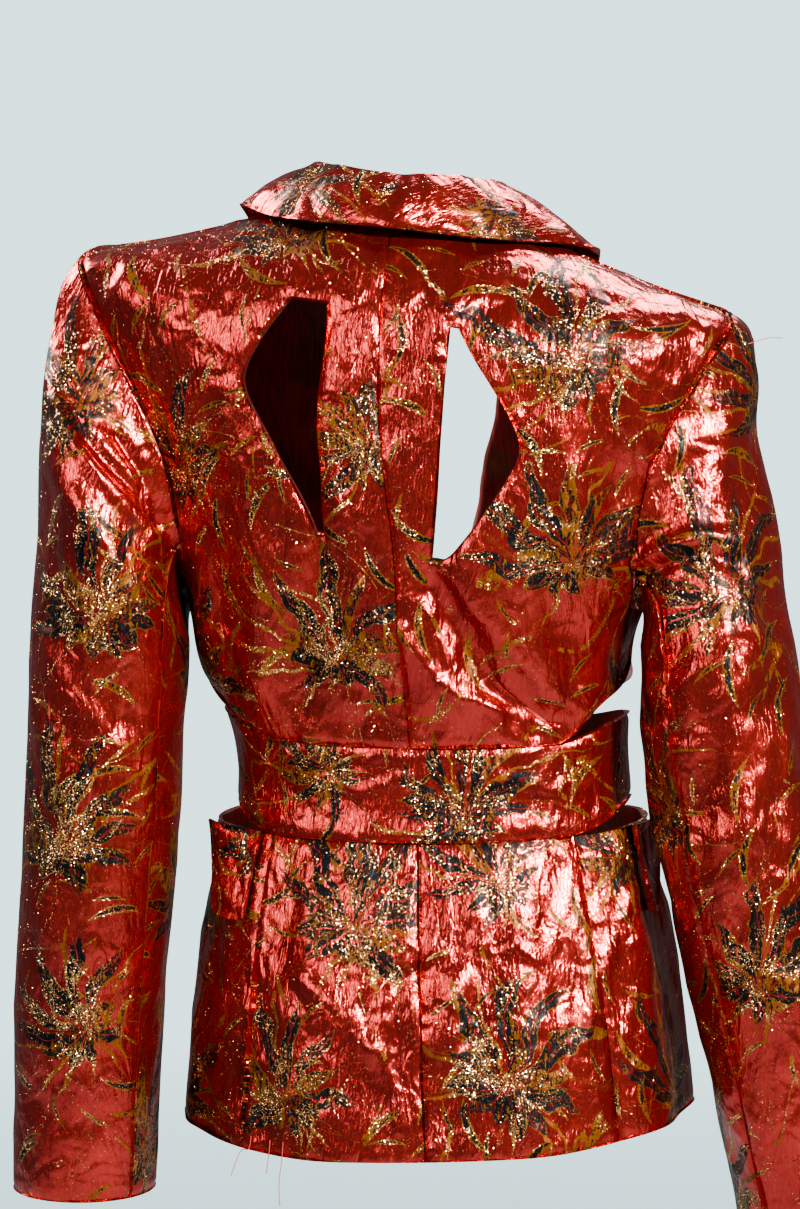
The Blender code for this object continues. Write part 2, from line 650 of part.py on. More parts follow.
def front_panel(name, side, material, collection):
    """Half of the front, turned back at the roll line as its lapel."""
    start = COLLAR_END_ANGLE
    right = body_side(side, True)
    rows = len(right)
    top = body_top(side, start - 90.0)
    roll_rows = rows - 3
    start_x = ring_at(0.0)[3] * math.sin(math.radians(start))
    end_x = -ROLL_CROSSING[0 if side > 0 else 1]
    roll = [(side * start, 0.0)]
    roll_xs = [start_x + (end_x - start_x) * i / roll_rows for i in range(roll_rows + 1)]
    for i in range(1, rows):
        level = ROLL_END_LEVEL * i / roll_rows
        if i > roll_rows:
            level = ROLL_END_LEVEL + (BAND_TOP - ROLL_END_LEVEL) * (i - roll_rows) / 2
        roll.append((side * front_angle(level, roll_xs[min(i, roll_rows)]), level))
    end_angle = abs(roll[-1][0])
    bottom_angles = [end_angle] + [180.0 - angle for angle in BACK_NODES[1:]]
    bottom = [(side * angle, waist_level(angle, side)) for angle in bottom_angles]
    places = coons(top, bottom, roll, right)
    columns = places.shape[1]
    points = np.zeros((rows, columns + 3 + LAPEL_COLUMNS, 3))
    for row in range(rows):
        share = min(row / roll_rows, 1.0)
        width = lapel_width_at(share)[0]
        roll_angle, roll_level = places[row, 0]
        ending = ease(LAPEL_ENDING, 1.0, row / roll_rows)
        rise = LAPEL_RISE + (LAPEL_END_RISE - LAPEL_RISE) * ending
        for column in range(columns):
            angle, level = places[row, columns - 1 - column]
            out = -CLOTH / 2 + overlap_rise(angle, FRONT_OVERLAP)
            points[row, column] = bodice_point(angle, level, out)
        base = -CLOTH / 2 + overlap_rise(roll_angle, FRONT_OVERLAP)
        for column, (past, lifted) in enumerate(ROLL_SECTION):
            points[row, columns + column] = bodice_point(roll_angle + side * past, roll_level,
                                                         base + rise * lifted)
        for column in range(LAPEL_COLUMNS):
            back = width * (column + LAPEL_FIRST_COLUMN) / (LAPEL_COLUMNS - 1 + LAPEL_FIRST_COLUMN)
            level = roll_level + LAPEL_SLANT * back * (1.0 - share)
            angle = side * front_angle(level, roll_xs[min(row, roll_rows)] + back)
            out = -CLOTH / 2 + rise + overlap_rise(angle, FRONT_OVERLAP)
            points[row, columns + 3 + column] = bodice_point(angle, level, out)
    normals = grid_normals(points)
    for row in range(rows):
        for column in range(columns - 1):
            angle, level = places[row, columns - 1 - column]
            way = surface_normal(bodice_point, angle, level)
            normals[row, column] = math.copysign(1.0, float(np.dot(way, normals[row, column]))) * way
    return cloth_wall(name, points, material, collection, normals, thickness=FRONT_CLOTH)


def ring_strip(name, angles, edge_top, edge_bottom, rows, surface, material, collection):
    """A strip between two levels that may change with the angle."""
    places = np.zeros((rows + 1, len(angles), 2))
    for column, angle in enumerate(angles):
        for row in range(rows + 1):
            share = row / rows
            level = edge_top(angle) * (1 - share) + edge_bottom(angle) * share
            places[row, column] = (angle, level)
    return panel(name, places, surface, material, collection)


def all_round_nodes(start, end):
    """The columns' angles between two angles of one side, both included."""
    quarter = BACK_NODES + [180.0 - angle for angle in reversed(BACK_NODES[:-1])]
    return [angle for angle in quarter if start - 0.01 <= angle <= end + 0.01]


def waistband(material, collection):
    half = all_round_nodes(0.0, 180.0)
    left = half + [BAND_ENDS[0]]
    right = [-angle for angle in reversed(half[1:])]
    angles = [-BAND_ENDS[1]] + right + left

    def surface(angle, level, out=0.0):
        return band_point(angle, level, out + overlap_rise(angle, BAND_OVERLAP))

    def edge(column):
        return lambda angle: waist_edges_at(min(abs(angle), max(180.0 - abs(angle), 0.0)))[column]
    return ring_strip("waistband", angles, edge(2), edge(3), BAND_ROWS, surface, material,
                      collection)


def hem_level(angle):
    """The hem rises a little at the sides and is cut away in a curve at the front."""
    size = abs(angle)
    sides = HEM_SIDE_RISE * ease(*HEM_SIDE_ANGLES, size)
    return HEM - sides - HEM_FRONT_RISE * ease(*HEM_FRONT_ANGLES, size)


def peplum(material, collection):
    stretches = (("back", 0.0, SIDE_BACK_ANGLE), ("side", SIDE_BACK_ANGLE, FRONT_SEAM_ANGLE),
                 ("front", FRONT_SEAM_ANGLE, 180.0))

    def surface(angle, level, out=0.0):
        return peplum_point(angle, level, out + overlap_rise(angle, BAND_OVERLAP))
    for word, side in (("left", 1), ("right", -1)):
        for label, start, end in stretches:
            angles = all_round_nodes(start, end)
            if label == "front":
                angles[-1] = SKIRT_END
            angles = [side * angle for angle in angles]
            ring_strip(f"peplum_{label}_{word}", angles, lambda angle: BAND_BOTTOM, hem_level,
                       PEPLUM_ROWS, surface, material, collection)


def pocket_flap(name, side, start, material, collection):
    """A flap that lies on the skirt piece and hangs from its upper edge."""
    rows, columns = FLAP_CELLS
    points = np.zeros((rows + 1, columns + 1, 3))
    for row in range(rows + 1):
        for column in range(columns + 1):
            down = row / rows
            across = column / columns
            angle = start + (FLAP_SPREAD - FLAP_NARROWING * down) * across
            level = BAND_BOTTOM + FLAP_DEPTH * down
            away = ease(0.0, FLAP_SEAM_SHARE, down)
            lift = FLAP_SEAM_RISE + (FLAP_RISE - FLAP_SEAM_RISE) * away
            lift += FLAP_CORNER_RISE * across * (1.0 - down)
            points[row, column] = peplum_point(side * angle, level, lift)
    return cloth_wall(name, points, material, collection)


def armhole_frame(turn, side):
    """A place on the armhole, the way out of the form there, and the way into the hole."""
    place = armhole_place(turn, side)
    normal = form_normal(*place)
    after = form_point(*armhole_place(turn + SMALL_TURN, side))
    along = after - form_point(*armhole_place(turn - SMALL_TURN, side))
    aside = unit(np.cross(along, normal)) * side
    return form_point(*place) - normal * CLOTH / 2, normal, aside


def sleeve_point(rows_at, cuff, side, turn, share, folds):
    """A point of a sleeve, by its turn round the arm and its share of the length."""
    outwards = math.cos(2 * math.pi * turn)
    backwards = math.sin(2 * math.pi * turn)
    tall = (1 + outwards) / 2
    down = max(share - HEAD_SHARE, 0.0) / (1 - HEAD_SHARE)
    slant = HEAD_RING_SLANT * outwards * (1 - ease(0.0, HEAD_RING_SLANT_END, down))
    height = HEAD_RING_MIDDLE + (cuff - HEAD_RING_MIDDLE) * down + slant
    middle_x, middle_y, half_width, half_depth = rows_at(-height)
    point = np.array([middle_x + side * half_width * outwards,
                      middle_y + half_depth * backwards, height])
    if share <= HEAD_SHARE:
        s = share / HEAD_SHARE
        push = UNDERARM_PUSH + (SLEEVE_HEAD_PUSH - UNDERARM_PUSH) * tall
        drop = UNDERARM_DROP + (SLEEVE_HEAD_DROP - UNDERARM_DROP) * tall
        hole, _, aside = armhole_frame(turn, side)
        follow = SLEEVE_FOLLOWS[0] + SLEEVE_FOLLOWS[1] * tall
        start_way = push * unit(aside * follow + np.array([side, 0.0, 0.0]) * (1 - follow))
        end_way = np.array([0.0, 0.0, -drop])
        hole = hole + unit(start_way) * SEAM_GAP
        point = ((1 + 2 * s) * (1 - s) ** 2 * hole + s * (1 - s) ** 2 * start_way
                 + s * s * (3 - 2 * s) * point + s * s * (s - 1) * end_way)
    near_turn = turn if turn >= 0 else turn + 1
    folded = fold_height(folds, near_turn, share, SLEEVE_GIRTH, SLEEVE_LENGTH)
    away = np.array([side * outwards, backwards, 0.0])
    return point + away * folded * ease(*SLEEVE_FOLDS_START, share)


def sleeve(word, side, table, folds, material, collection):
    """A two-piece sleeve: the upper piece outside the arm, the under piece inside it."""
    rows_at = smooth_table([(-row[0],) + row[1:] for row in table])
    cuff = table[-1][0]
    shares = [HEAD_SHARE * i / HEAD_ROWS for i in range(HEAD_ROWS)]
    shares += [HEAD_SHARE + (1 - HEAD_SHARE) * i / ARM_ROWS for i in range(ARM_ROWS + 1)]
    steps = 2 * ARMHOLE_STEPS
    whole = np.zeros((len(shares), steps + 3, 3))
    for row, share in enumerate(shares):
        for column in range(steps):
            whole[row, column + 1] = sleeve_point(rows_at, cuff, side, column / steps, share, folds)
    whole[:, 0] = whole[:, steps]
    whole[:, steps + 1:] = whole[:, 1:3]
    all_normals = grid_normals(whole)[:, 1:-1]
    for column in range(steps + 1):
        at_rim = armhole_frame(column / steps, side)[1]
        for row, part in ((0, 1.0), (1, 0.5)):
            blended = all_normals[row, column] * side * (1 - part) + at_rim * part
            all_normals[row, column] = unit(blended) * side
    back_seam = round(SLEEVE_SEAM_TURNS[0] * steps)
    front_seam = round(SLEEVE_SEAM_TURNS[1] * steps)
    pieces = (("upper", range(front_seam - steps, back_seam + 1)),
              ("under", range(back_seam, front_seam + 1)))
    for label, turns in pieces:
        picked = [step % steps for step in turns]
        cloth_wall(f"sleeve_{label}_{word}", whole[:, 1:][:, picked], material, collection,
                   all_normals[:, picked], thickness=SLEEVE_CLOTH, gap=SLEEVE_GAP)


def collar(material, collection):
    """One folded strip: up from the neck edge, over the fold and down to its outer edge."""
    end = COLLAR_END_ANGLE
    angles = [-end + 2 * end * i / COLLAR_STEPS for i in range(COLLAR_STEPS + 1)]
    rising = COLLAR_RISING_ROWS
    falling = COLLAR_FALLING_ROWS
    points = np.zeros((rising + 2 + falling, len(angles), 3))
    up = np.array([0.0, 0.0, 1.0])
    for column, angle in enumerate(angles):
        fold_z, edge_half, edge_deep, edge_z = collar_at(abs(angle))
        slip = ease(*COLLAR_SLIP_ANGLES, -angle)
        edge_half += COLLAR_SLIP_OUT * slip
        edge_z -= COLLAR_SLIP_DOWN * slip
        sine = math.sin(math.radians(angle))
        cosine = math.cos(math.radians(angle))
        deep = COLLAR_FOLD_BACK if cosine > 0 else COLLAR_FOLD_FRONT
        neck = form_point(angle, 0.0) + up * COLLAR_ABOVE_NECK
        fold = posed(COLLAR_FOLD_HALF_WIDTH * sine, deep * cosine - COLLAR_FOLD_BACK_SHIFT,
                     fold_z, 0.0)
        edge = posed(edge_half * sine, edge_deep * cosine - COLLAR_EDGE_BACK_SHIFT, edge_z, 0.0)
        out = unit(np.array([edge[0] - fold[0], edge[1] - fold[1], 0.0]))
        inner, crest, high = (fold + out * away + up * rise for away, rise in COLLAR_FOLD_SECTION)
        for row in range(rising):
            s = row / rising
            points[row, column] = neck * (1 - s) + inner * s
        points[rising, column] = inner
        points[rising + 1, column] = crest
        middle = (high + edge) / 2 + up * COLLAR_SWELL_UP + out * COLLAR_SWELL_OUT
        for row in range(falling):
            s = row / (falling - 1)
            points[rising + 2 + row, column] = ((1 - s) ** 2 * high + 2 * s * (1 - s) * middle
                                                + s * s * edge)
    return cloth_wall("collar", points, material, collection, thickness=COLLAR_CLOTH)


def button(material, collection):
    """A flat round button that lies on the band at the centre front."""
    place = (-180.0, (BAND_TOP + BAND_BOTTOM) / 2)
    out = form_normal(*place)
    foot = band_point(*place, BAND_OVERLAP + SEAM_GAP)
    bm = bmesh.new()
    bmesh.ops.create_cone(bm, cap_ends=True, segments=BUTTON_SIDES, radius1=BUTTON_RADIUS,
                          radius2=BUTTON_RADIUS * BUTTON_TAPER, depth=BUTTON_THICKNESS)
    across = unit(np.cross(np.array([0.0, 0.0, 1.0]), out))
    upright = np.cross(out, across)
    for vertex in bm.verts:
        x, y, z = vertex.co
        vertex.co = foot + across * x + upright * y + out * (z + BUTTON_THICKNESS / 2)
    return add_object("button_front", bm, material, collection)


def main():
    for old in list(bpy.data.objects):
        bpy.data.objects.remove(old, do_unlink=True)
    collection = bpy.data.collections.new(COLLECTION_NAME)
    bpy.context.scene.collection.children.link(collection)
    cloth = make_material("Metallic red brocade", RED_CLOTH, 0.38, 0.55)
    gold = make_material("Covered button", GOLD_CLOTH, 0.35, 0.6)
    back_panel("back_left", 1, CUTOUT_LEFT, cloth, collection)
    back_panel("back_right", -1, CUTOUT_RIGHT, cloth, collection)
    front_panel("front_left", 1, cloth, collection)
    front_panel("front_right", -1, cloth, collection)
    waistband(cloth, collection)
    peplum(cloth, collection)
    pocket_flap("flap_left", 1, FLAP_LEFT_START, cloth, collection)
    pocket_flap("flap_right", -1, FLAP_RIGHT_START, cloth, collection)
    sleeve("left", 1, LEFT_SLEEVE, LEFT_SLEEVE_FOLDS, cloth, collection)
    sleeve("right", -1, RIGHT_SLEEVE, RIGHT_SLEEVE_FOLDS, cloth, collection)
    collar(cloth, collection)
    button(gold, collection)


main()
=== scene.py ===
"""Looks of a fitted blazer in a metallic brocade, with a cut-out back, a band and a peplum.

Each piece of cloth is a finely subdivided copy of its plain wall. It gets the creases that
wear gives it, a cloth map that is laid out flat as the piece was cut, and the woven flowers.
"""
import math

import bmesh
import bpy
import numpy as np
from bpy.props import FloatProperty, FloatVectorProperty, IntProperty, PointerProperty
from bpy.types import Operator, Panel, PropertyGroup
from mathutils import Euler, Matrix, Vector, noise
from mathutils.kdtree import KDTree


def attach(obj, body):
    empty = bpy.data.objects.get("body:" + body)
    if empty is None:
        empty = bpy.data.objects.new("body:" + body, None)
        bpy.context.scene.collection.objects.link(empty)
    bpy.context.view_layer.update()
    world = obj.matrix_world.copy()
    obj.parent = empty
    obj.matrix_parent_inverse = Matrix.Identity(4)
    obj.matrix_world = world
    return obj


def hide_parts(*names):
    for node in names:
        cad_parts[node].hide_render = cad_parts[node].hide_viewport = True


bl_info = {
    "name": "Brocade Blazer",
    "version": (1, 0, 0),
    "blender": (4, 5, 0),
    "location": "3D View > Sidebar > Blazer",
    "description": "Dresses the blazer's plain cloth walls in a woven metallic brocade",
    "category": "Object",
}

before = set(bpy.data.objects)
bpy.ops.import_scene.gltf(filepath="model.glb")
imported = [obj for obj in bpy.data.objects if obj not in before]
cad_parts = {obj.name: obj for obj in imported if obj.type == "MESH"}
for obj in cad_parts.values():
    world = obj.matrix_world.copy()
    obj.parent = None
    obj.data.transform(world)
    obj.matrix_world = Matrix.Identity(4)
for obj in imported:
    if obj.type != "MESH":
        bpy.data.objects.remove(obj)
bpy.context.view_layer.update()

# The camera: its place, how far it looks down, its focal length in picture pixels, and the
# height of its sensor in millimetres.
PICTURE_WIDTH = 800
PICTURE_HEIGHT = 1209
CAMERA_PLACE = (0.015, 2.6, 0.0)
CAMERA_PITCH = math.radians(5.3)
FOCAL_PIXELS = 4100.0
SENSOR = 36.0

# What each piece is sewn to.
SEWN_TO = {
    "back_left": ("back_right", "waistband"),
    "back_right": ("back_left", "waistband"),
    "front_left": ("back_left", "waistband"),
    "front_right": ("back_right", "waistband"),
    "waistband": ("back_left", "back_right"),
    "peplum_back_left": ("waistband",),
    "peplum_back_right": ("waistband",),
    "peplum_side_left": ("peplum_back_left",),
    "peplum_side_right": ("peplum_back_right",),
    "peplum_front_left": ("waistband",),
    "peplum_front_right": ("waistband",),
    "flap_left": ("peplum_side_left",),
    "flap_right": ("peplum_side_right",),
    "sleeve_upper_left": ("back_left", "front_left"),
    "sleeve_under_left": ("sleeve_upper_left",),
    "sleeve_upper_right": ("back_right", "front_right"),
    "sleeve_under_right": ("sleeve_upper_right",),
    "collar": ("back_left", "back_right"),
}

# Middle of the body and of each sleeve, from which outwards is told: height, X, Y.
BODY_AXIS = ((-0.60, 0.0, 0.0), (-0.14, 0.0, 0.0))
LEFT_ARM_AXIS = ((-0.622, 0.220, -0.020), (-0.370, 0.205, 0.0), (-0.130, 0.185, 0.0))
RIGHT_ARM_AXIS = ((-0.630, -0.250, 0.048), (-0.340, -0.188, 0.064), (-0.150, -0.165, 0.025))

MILLIMETRE = 0.001
FAR = 1e9
TINY = 1e-9
TINY_AREA = 1e-12

# Merging of a plain wall: corners this close, and faces this bent or skew, become one.
MERGE_DISTANCE = 0.00002
QUAD_BEND = math.radians(60)
QUAD_SKEW = math.radians(70)
# A region of a wall that has less than this share of its area is a rim.
RIM_SHARE = 0.05
# The maps of the pieces lie this far apart, so that no two show the same weave.
MAP_STEP = 0.71
MAP_MARGIN = 0.001
# The turns at which the smallest rectangle round a map is looked for.
MAP_TURNS = np.radians(np.arange(0.0, 90.0, 2.0))
# Creases that were read from the picture fade where the cloth turns from its camera.
CREASE_FADE = 3.0
# The crumples: slant, stretch, and the frequency, shift and share of their finer noises.
CRUMPLE_SLANT = (0.5, 0.8, 0.4)
CRUMPLE_STRETCH = (1.0, 1.0, 0.5)
FINE_NOISE = (2.3, 7.0)
FINE_SHARE = 0.40
RIDGE_NOISE = (1.3, 3.0)
RIDGE_SHARE = 1.1
RIDGE_ROUNDING = 0.004


def linear(hex_colour):
    """Turns an sRGB hex colour to the linear values that the shaders take."""
    parts = [int(hex_colour[i:i + 2], 16) / 255 for i in (0, 2, 4)]
    return tuple(c / 12.92 if c <= 0.04045 else ((c + 0.055) / 1.055) ** 2.4 for c in parts)


def length_setting(name, description, default):
    return FloatProperty(name=name, description=description, default=default, unit="LENGTH")


def colour_setting(name, description, hex_colour):
    return FloatVectorProperty(name=name, description=description, size=3, subtype="COLOR",
                               default=linear(hex_colour))


class ClothSettings(PropertyGroup):
    crumple: length_setting("Crumple", "Height of the soft dents all over", 0.0024)
    crumple_size: length_setting("Crumple size", "Width of a soft dent", 0.030)
    seam_dip: length_setting("Seam dip", "Depth to which an edge turns in", 0.0013)
    seam_dip_width: length_setting("Seam dip width", "Width of a turned edge", 0.0024)
    seam_close: length_setting("Seam closing", "How far an edge grows across a seam", 0.00015)
    fineness: IntProperty(name="Fineness", description="Times that each face is divided",
                          default=3)
    sharp_angle: FloatProperty(name="Sharp angle", description="Angle that keeps an edge",
                               default=math.radians(50), subtype="ANGLE")


class BrocadeSettings(PropertyGroup):
    red: colour_setting("Red", "Metallic ground of the cloth", "C8443D")
    # The deep red shows where the crinkle relief is low, so it is painted shade in the crinkles'
    # hollows; the shade noise also mixes it in as a random tone.
    deep_red: colour_setting("Deep red", "Ground between the crinkles", "902F2D")
    black: colour_setting("Black", "Dark petals", "0C0D11")
    mustard: colour_setting("Old gold", "Flat gold floats", "6B4012")
    glitter: colour_setting("Glitter", "Pale gold metal thread", "F2B678")
    reverse: colour_setting("Wrong side", "Back of the weave", "9A2C25")
    flower_radius: length_setting("Flower radius", "Half of a flower's width", 0.044)
    flower_spacing: length_setting("Flower spacing", "Between the flowers", 0.150)
    seed: IntProperty(name="Seed", description="Order of the flowers", default=7)


class StageSettings(PropertyGroup):
    floor_drop: length_setting("Floor drop", "From the neck to the floor", 1.42)
    backdrop: colour_setting("Backdrop", "Pale sky round the blazer", "C6E3E7")
    floor: colour_setting("Floor", "Matt floor under the blazer", "8CA2A6")
    key_power: FloatProperty(name="Key power", description="Small light, picture's right",
                             default=340.0, unit="POWER")
    fill_power: FloatProperty(name="Fill power", description="Soft light, picture's left",
                              default=36.0, unit="POWER")


# Helpers for objects


def deselect_all():
    if bpy.context.mode != "OBJECT":
        bpy.ops.object.mode_set(mode="OBJECT")
    for thing in bpy.context.selected_objects:
        thing.select_set(False)


def take(piece):
    """Makes one object the only one that is selected, and active."""
    deselect_all()
    piece.select_set(True)
    bpy.context.view_layer.objects.active = piece


def apply_modifiers(piece):
    take(piece)
    for modifier in list(piece.modifiers):
        bpy.ops.object.modifier_apply(modifier=modifier.name)


def read(collection, name, width, kind=np.float64):
    values = np.empty(len(collection) * width, kind)
    collection.foreach_get(name, values)
    return values.reshape(-1, width) if width > 1 else values


def clear_maps(mesh):
    while mesh.uv_layers:
        mesh.uv_layers.remove(mesh.uv_layers[0])


def add_maps(mesh, maps):
    """Adds flat maps by name, each with a place for every corner, beside the cloth map."""
    for name, places in maps.items():
        mesh.uv_layers.new(name=name, do_init=False)
        mesh.uv_layers[name].uv.foreach_set("vector", places.ravel())
    mesh.uv_layers.active = mesh.uv_layers["cloth"]


def camera_axes():
    forward = np.array((0.0, -math.cos(CAMERA_PITCH), -math.sin(CAMERA_PITCH)))
    right = np.array((-1.0, 0.0, 0.0))
    return right, np.cross(right, forward), forward


def in_picture(points):
    """Where points of the object are in the picture, in pixels across and down."""
    right, up, forward = camera_axes()
    away = points - np.array(CAMERA_PLACE)
    depth = away @ forward
    across = PICTURE_WIDTH / 2 + FOCAL_PIXELS * (away @ right) / depth
    down = PICTURE_HEIGHT / 2 - FOCAL_PIXELS * (away @ up) / depth
    return np.stack([across, down], axis=1)


def from_axis(points, name):
    """Vectors from the middle of the body or the sleeve to points."""
    arm = LEFT_ARM_AXIS if name.endswith("left") else RIGHT_ARM_AXIS
    rows = np.array(arm if name.startswith("sleeve") else BODY_AXIS)
    height = np.clip(points[:, 2], rows[0, 0], rows[-1, 0])
    middle = np.stack([np.interp(height, rows[:, 0], rows[:, 1]),
                       np.interp(height, rows[:, 0], rows[:, 2]), height], axis=1)
    return points - middle


# The walls: sides, cut and flat map


def plain_copy(name):
    """A merged copy of a plain wall, of quads, with its rims creased and cut as seams."""
    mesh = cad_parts[name].data.copy()
    mesh.materials.clear()
    piece = bpy.data.objects.new(name + "_cloth", mesh)
    bpy.context.scene.collection.objects.link(piece)
    take(piece)
    bpy.ops.mesh.customdata_custom_splitnormals_clear()
    bpy.ops.object.mode_set(mode="EDIT")
    bpy.ops.mesh.select_all(action="SELECT")
    bpy.ops.mesh.remove_doubles(threshold=MERGE_DISTANCE)
    bpy.ops.mesh.tris_convert_to_quads(face_threshold=QUAD_BEND, shape_threshold=QUAD_SKEW)
    bpy.ops.mesh.mark_sharp(clear=True)
    bpy.ops.object.mode_set(mode="OBJECT")
    sharp = bpy.context.scene.blazer_cloth.sharp_angle
    bm = bmesh.new()
    bm.from_mesh(mesh)
    crease = bm.edges.layers.float.get("crease_edge") or bm.edges.layers.float.new("crease_edge")
    region = bm.faces.layers.int.new("region")
    for edge in bm.edges:
        rim = len(edge.link_faces) != 2 or edge.calc_face_angle(0.0) > sharp
        edge[crease] = 1.0 if rim else 0.0
        edge.seam = rim
    count = 0
    for face in bm.faces:
        if face[region]:
            continue
        count += 1
        face[region] = count
        waiting = [face]
        while waiting:
            here = waiting.pop()
            for edge in here.edges:
                for other in edge.link_faces:
                    if not edge.seam and not other[region]:
                        other[region] = count
                        waiting.append(other)
    bm.to_mesh(mesh)
    bm.free()
    return piece


def lay_flat(piece, index):
    """Unwraps the piece, turns each region upright and gives the map its real size.
    Returns the sides of the smallest rectangle that it can be cut from, and its area."""
    take(piece)
    mesh = piece.data
    clear_maps(mesh)
    mesh.uv_layers.new(name="cloth")
    bpy.ops.object.mode_set(mode="EDIT")
    bpy.ops.mesh.select_all(action="SELECT")
    bpy.ops.uv.unwrap(method="ANGLE_BASED", margin=MAP_MARGIN)
    bpy.ops.object.mode_set(mode="OBJECT")
    places = read(mesh.vertices, "co", 3)
    corner_vertex = read(mesh.loops, "vertex_index", 1, np.int32)
    flat = read(mesh.uv_layers["cloth"].uv, "vector", 2)
    region = read(mesh.attributes["region"].data, "value", 1, np.int32)
    starts = read(mesh.polygons, "loop_start", 1, np.int32)
    totals = read(mesh.polygons, "loop_total", 1, np.int32)
    areas = read(mesh.polygons, "area", 1)
    corner_region = np.repeat(region, totals)
    flat_areas = np.zeros(len(starts))
    for k, (start, total) in enumerate(zip(starts, totals)):
        x, y = flat[start:start + total].T
        flat_areas[k] = 0.5 * (x @ np.roll(y, -1) - y @ np.roll(x, -1))
    for number in np.unique(region):
        corners = corner_region == number
        here = flat[corners]
        heights = places[corner_vertex[corners], 2]
        area = areas[region == number].sum()
        flat_area = flat_areas[region == number].sum()
        here = (here - here.mean(0)) * math.sqrt(area / max(abs(flat_area), TINY_AREA))
        if flat_area < 0:
            here[:, 0] *= -1
        slope = np.linalg.lstsq(np.column_stack([here, np.ones(len(here))]), heights,
                                rcond=None)[0]
        turn = math.atan2(slope[0], slope[1])
        cosine, sine = math.cos(turn), math.sin(turn)
        here = here @ np.array(((cosine, sine), (-sine, cosine)))
        flat[corners] = here + (MAP_STEP * index, heights.mean())
    mesh.uv_layers["cloth"].uv.foreach_set("vector", flat.ravel())
    side = read(mesh.attributes["wall_side"].data, "value", 1)
    faces = {number: areas[(region == number) & (side > 0)].sum()
             for number in np.unique(region)}
    largest = max(faces, key=faces.get)
    here = flat[corner_region == largest]
    across = [np.ptp(here @ (math.cos(turn), math.sin(turn))) for turn in MAP_TURNS]
    along = [np.ptp(here @ (-math.sin(turn), math.cos(turn))) for turn in MAP_TURNS]
    best = int(np.argmin(np.array(across) * np.array(along)))
    return float(across[best]), float(along[best]), float(faces[largest])


def mark_sides(piece, name, all_outside):
    """Sets the material of each region: 0 outside and on the rims, 1 on the wrong side."""
    mesh = piece.data
    region = read(mesh.attributes["region"].data, "value", 1, np.int32)
    normals = read(mesh.polygons, "normal", 3)
    centres = read(mesh.polygons, "center", 3)
    areas = read(mesh.polygons, "area", 1)
    outwards = from_axis(centres, name)
    outwards /= np.linalg.norm(outwards, axis=1, keepdims=True)
    facing = (normals * outwards).sum(1) * areas
    index = np.zeros(len(region), np.int32)
    large = RIM_SHARE * areas.sum()
    for number in np.unique(region):
        chosen = region == number
        if not all_outside and areas[chosen].sum() > large and facing[chosen].sum() < 0:
            index[chosen] = 1
    turned_in = index == 1
    if name.startswith("front"):
        # The facing: a lapel that is turned back shows the cloth's right side.
        index[turned_in & (facing > 0)] = 0
    mesh.polygons.foreach_set("material_index", index)
    side = mesh.attributes.new("wall_side", "FLOAT", "FACE")
    rim = np.array([areas[region == number].sum() < large for number in region])
    side.data.foreach_set("value", np.where(rim, 0.0, np.where(turned_in, -1.0, 1.0)))


def mean_ways(mesh, shares):
    """For each vertex, the way that its faces point, each by its share."""
    normals = read(mesh.polygons, "normal", 3) * shares[:, None]
    totals = read(mesh.polygons, "loop_total", 1, np.int32)
    corner_vertex = read(mesh.loops, "vertex_index", 1, np.int32)
    ways = np.zeros((len(mesh.vertices), 3))
    np.add.at(ways, corner_vertex, np.repeat(normals, totals, axis=0))
    return ways / np.maximum(np.linalg.norm(ways, axis=1, keepdims=True), TINY)


def nearest_on_path(places, path):
    """Distances of places from a path, both in the picture's pixels."""
    nearest = np.full(len(places), FAR)
    points = np.reshape(path, (-1, 2)).astype(float)
    for start, end in zip(points, points[1:]):
        run = end - start
        share = np.clip(((places - start) @ run) / (run @ run), 0.0, 1.0)
        feet = start + share[:, None] * run
        nearest = np.minimum(nearest, np.linalg.norm(places - feet, axis=1))
    return nearest


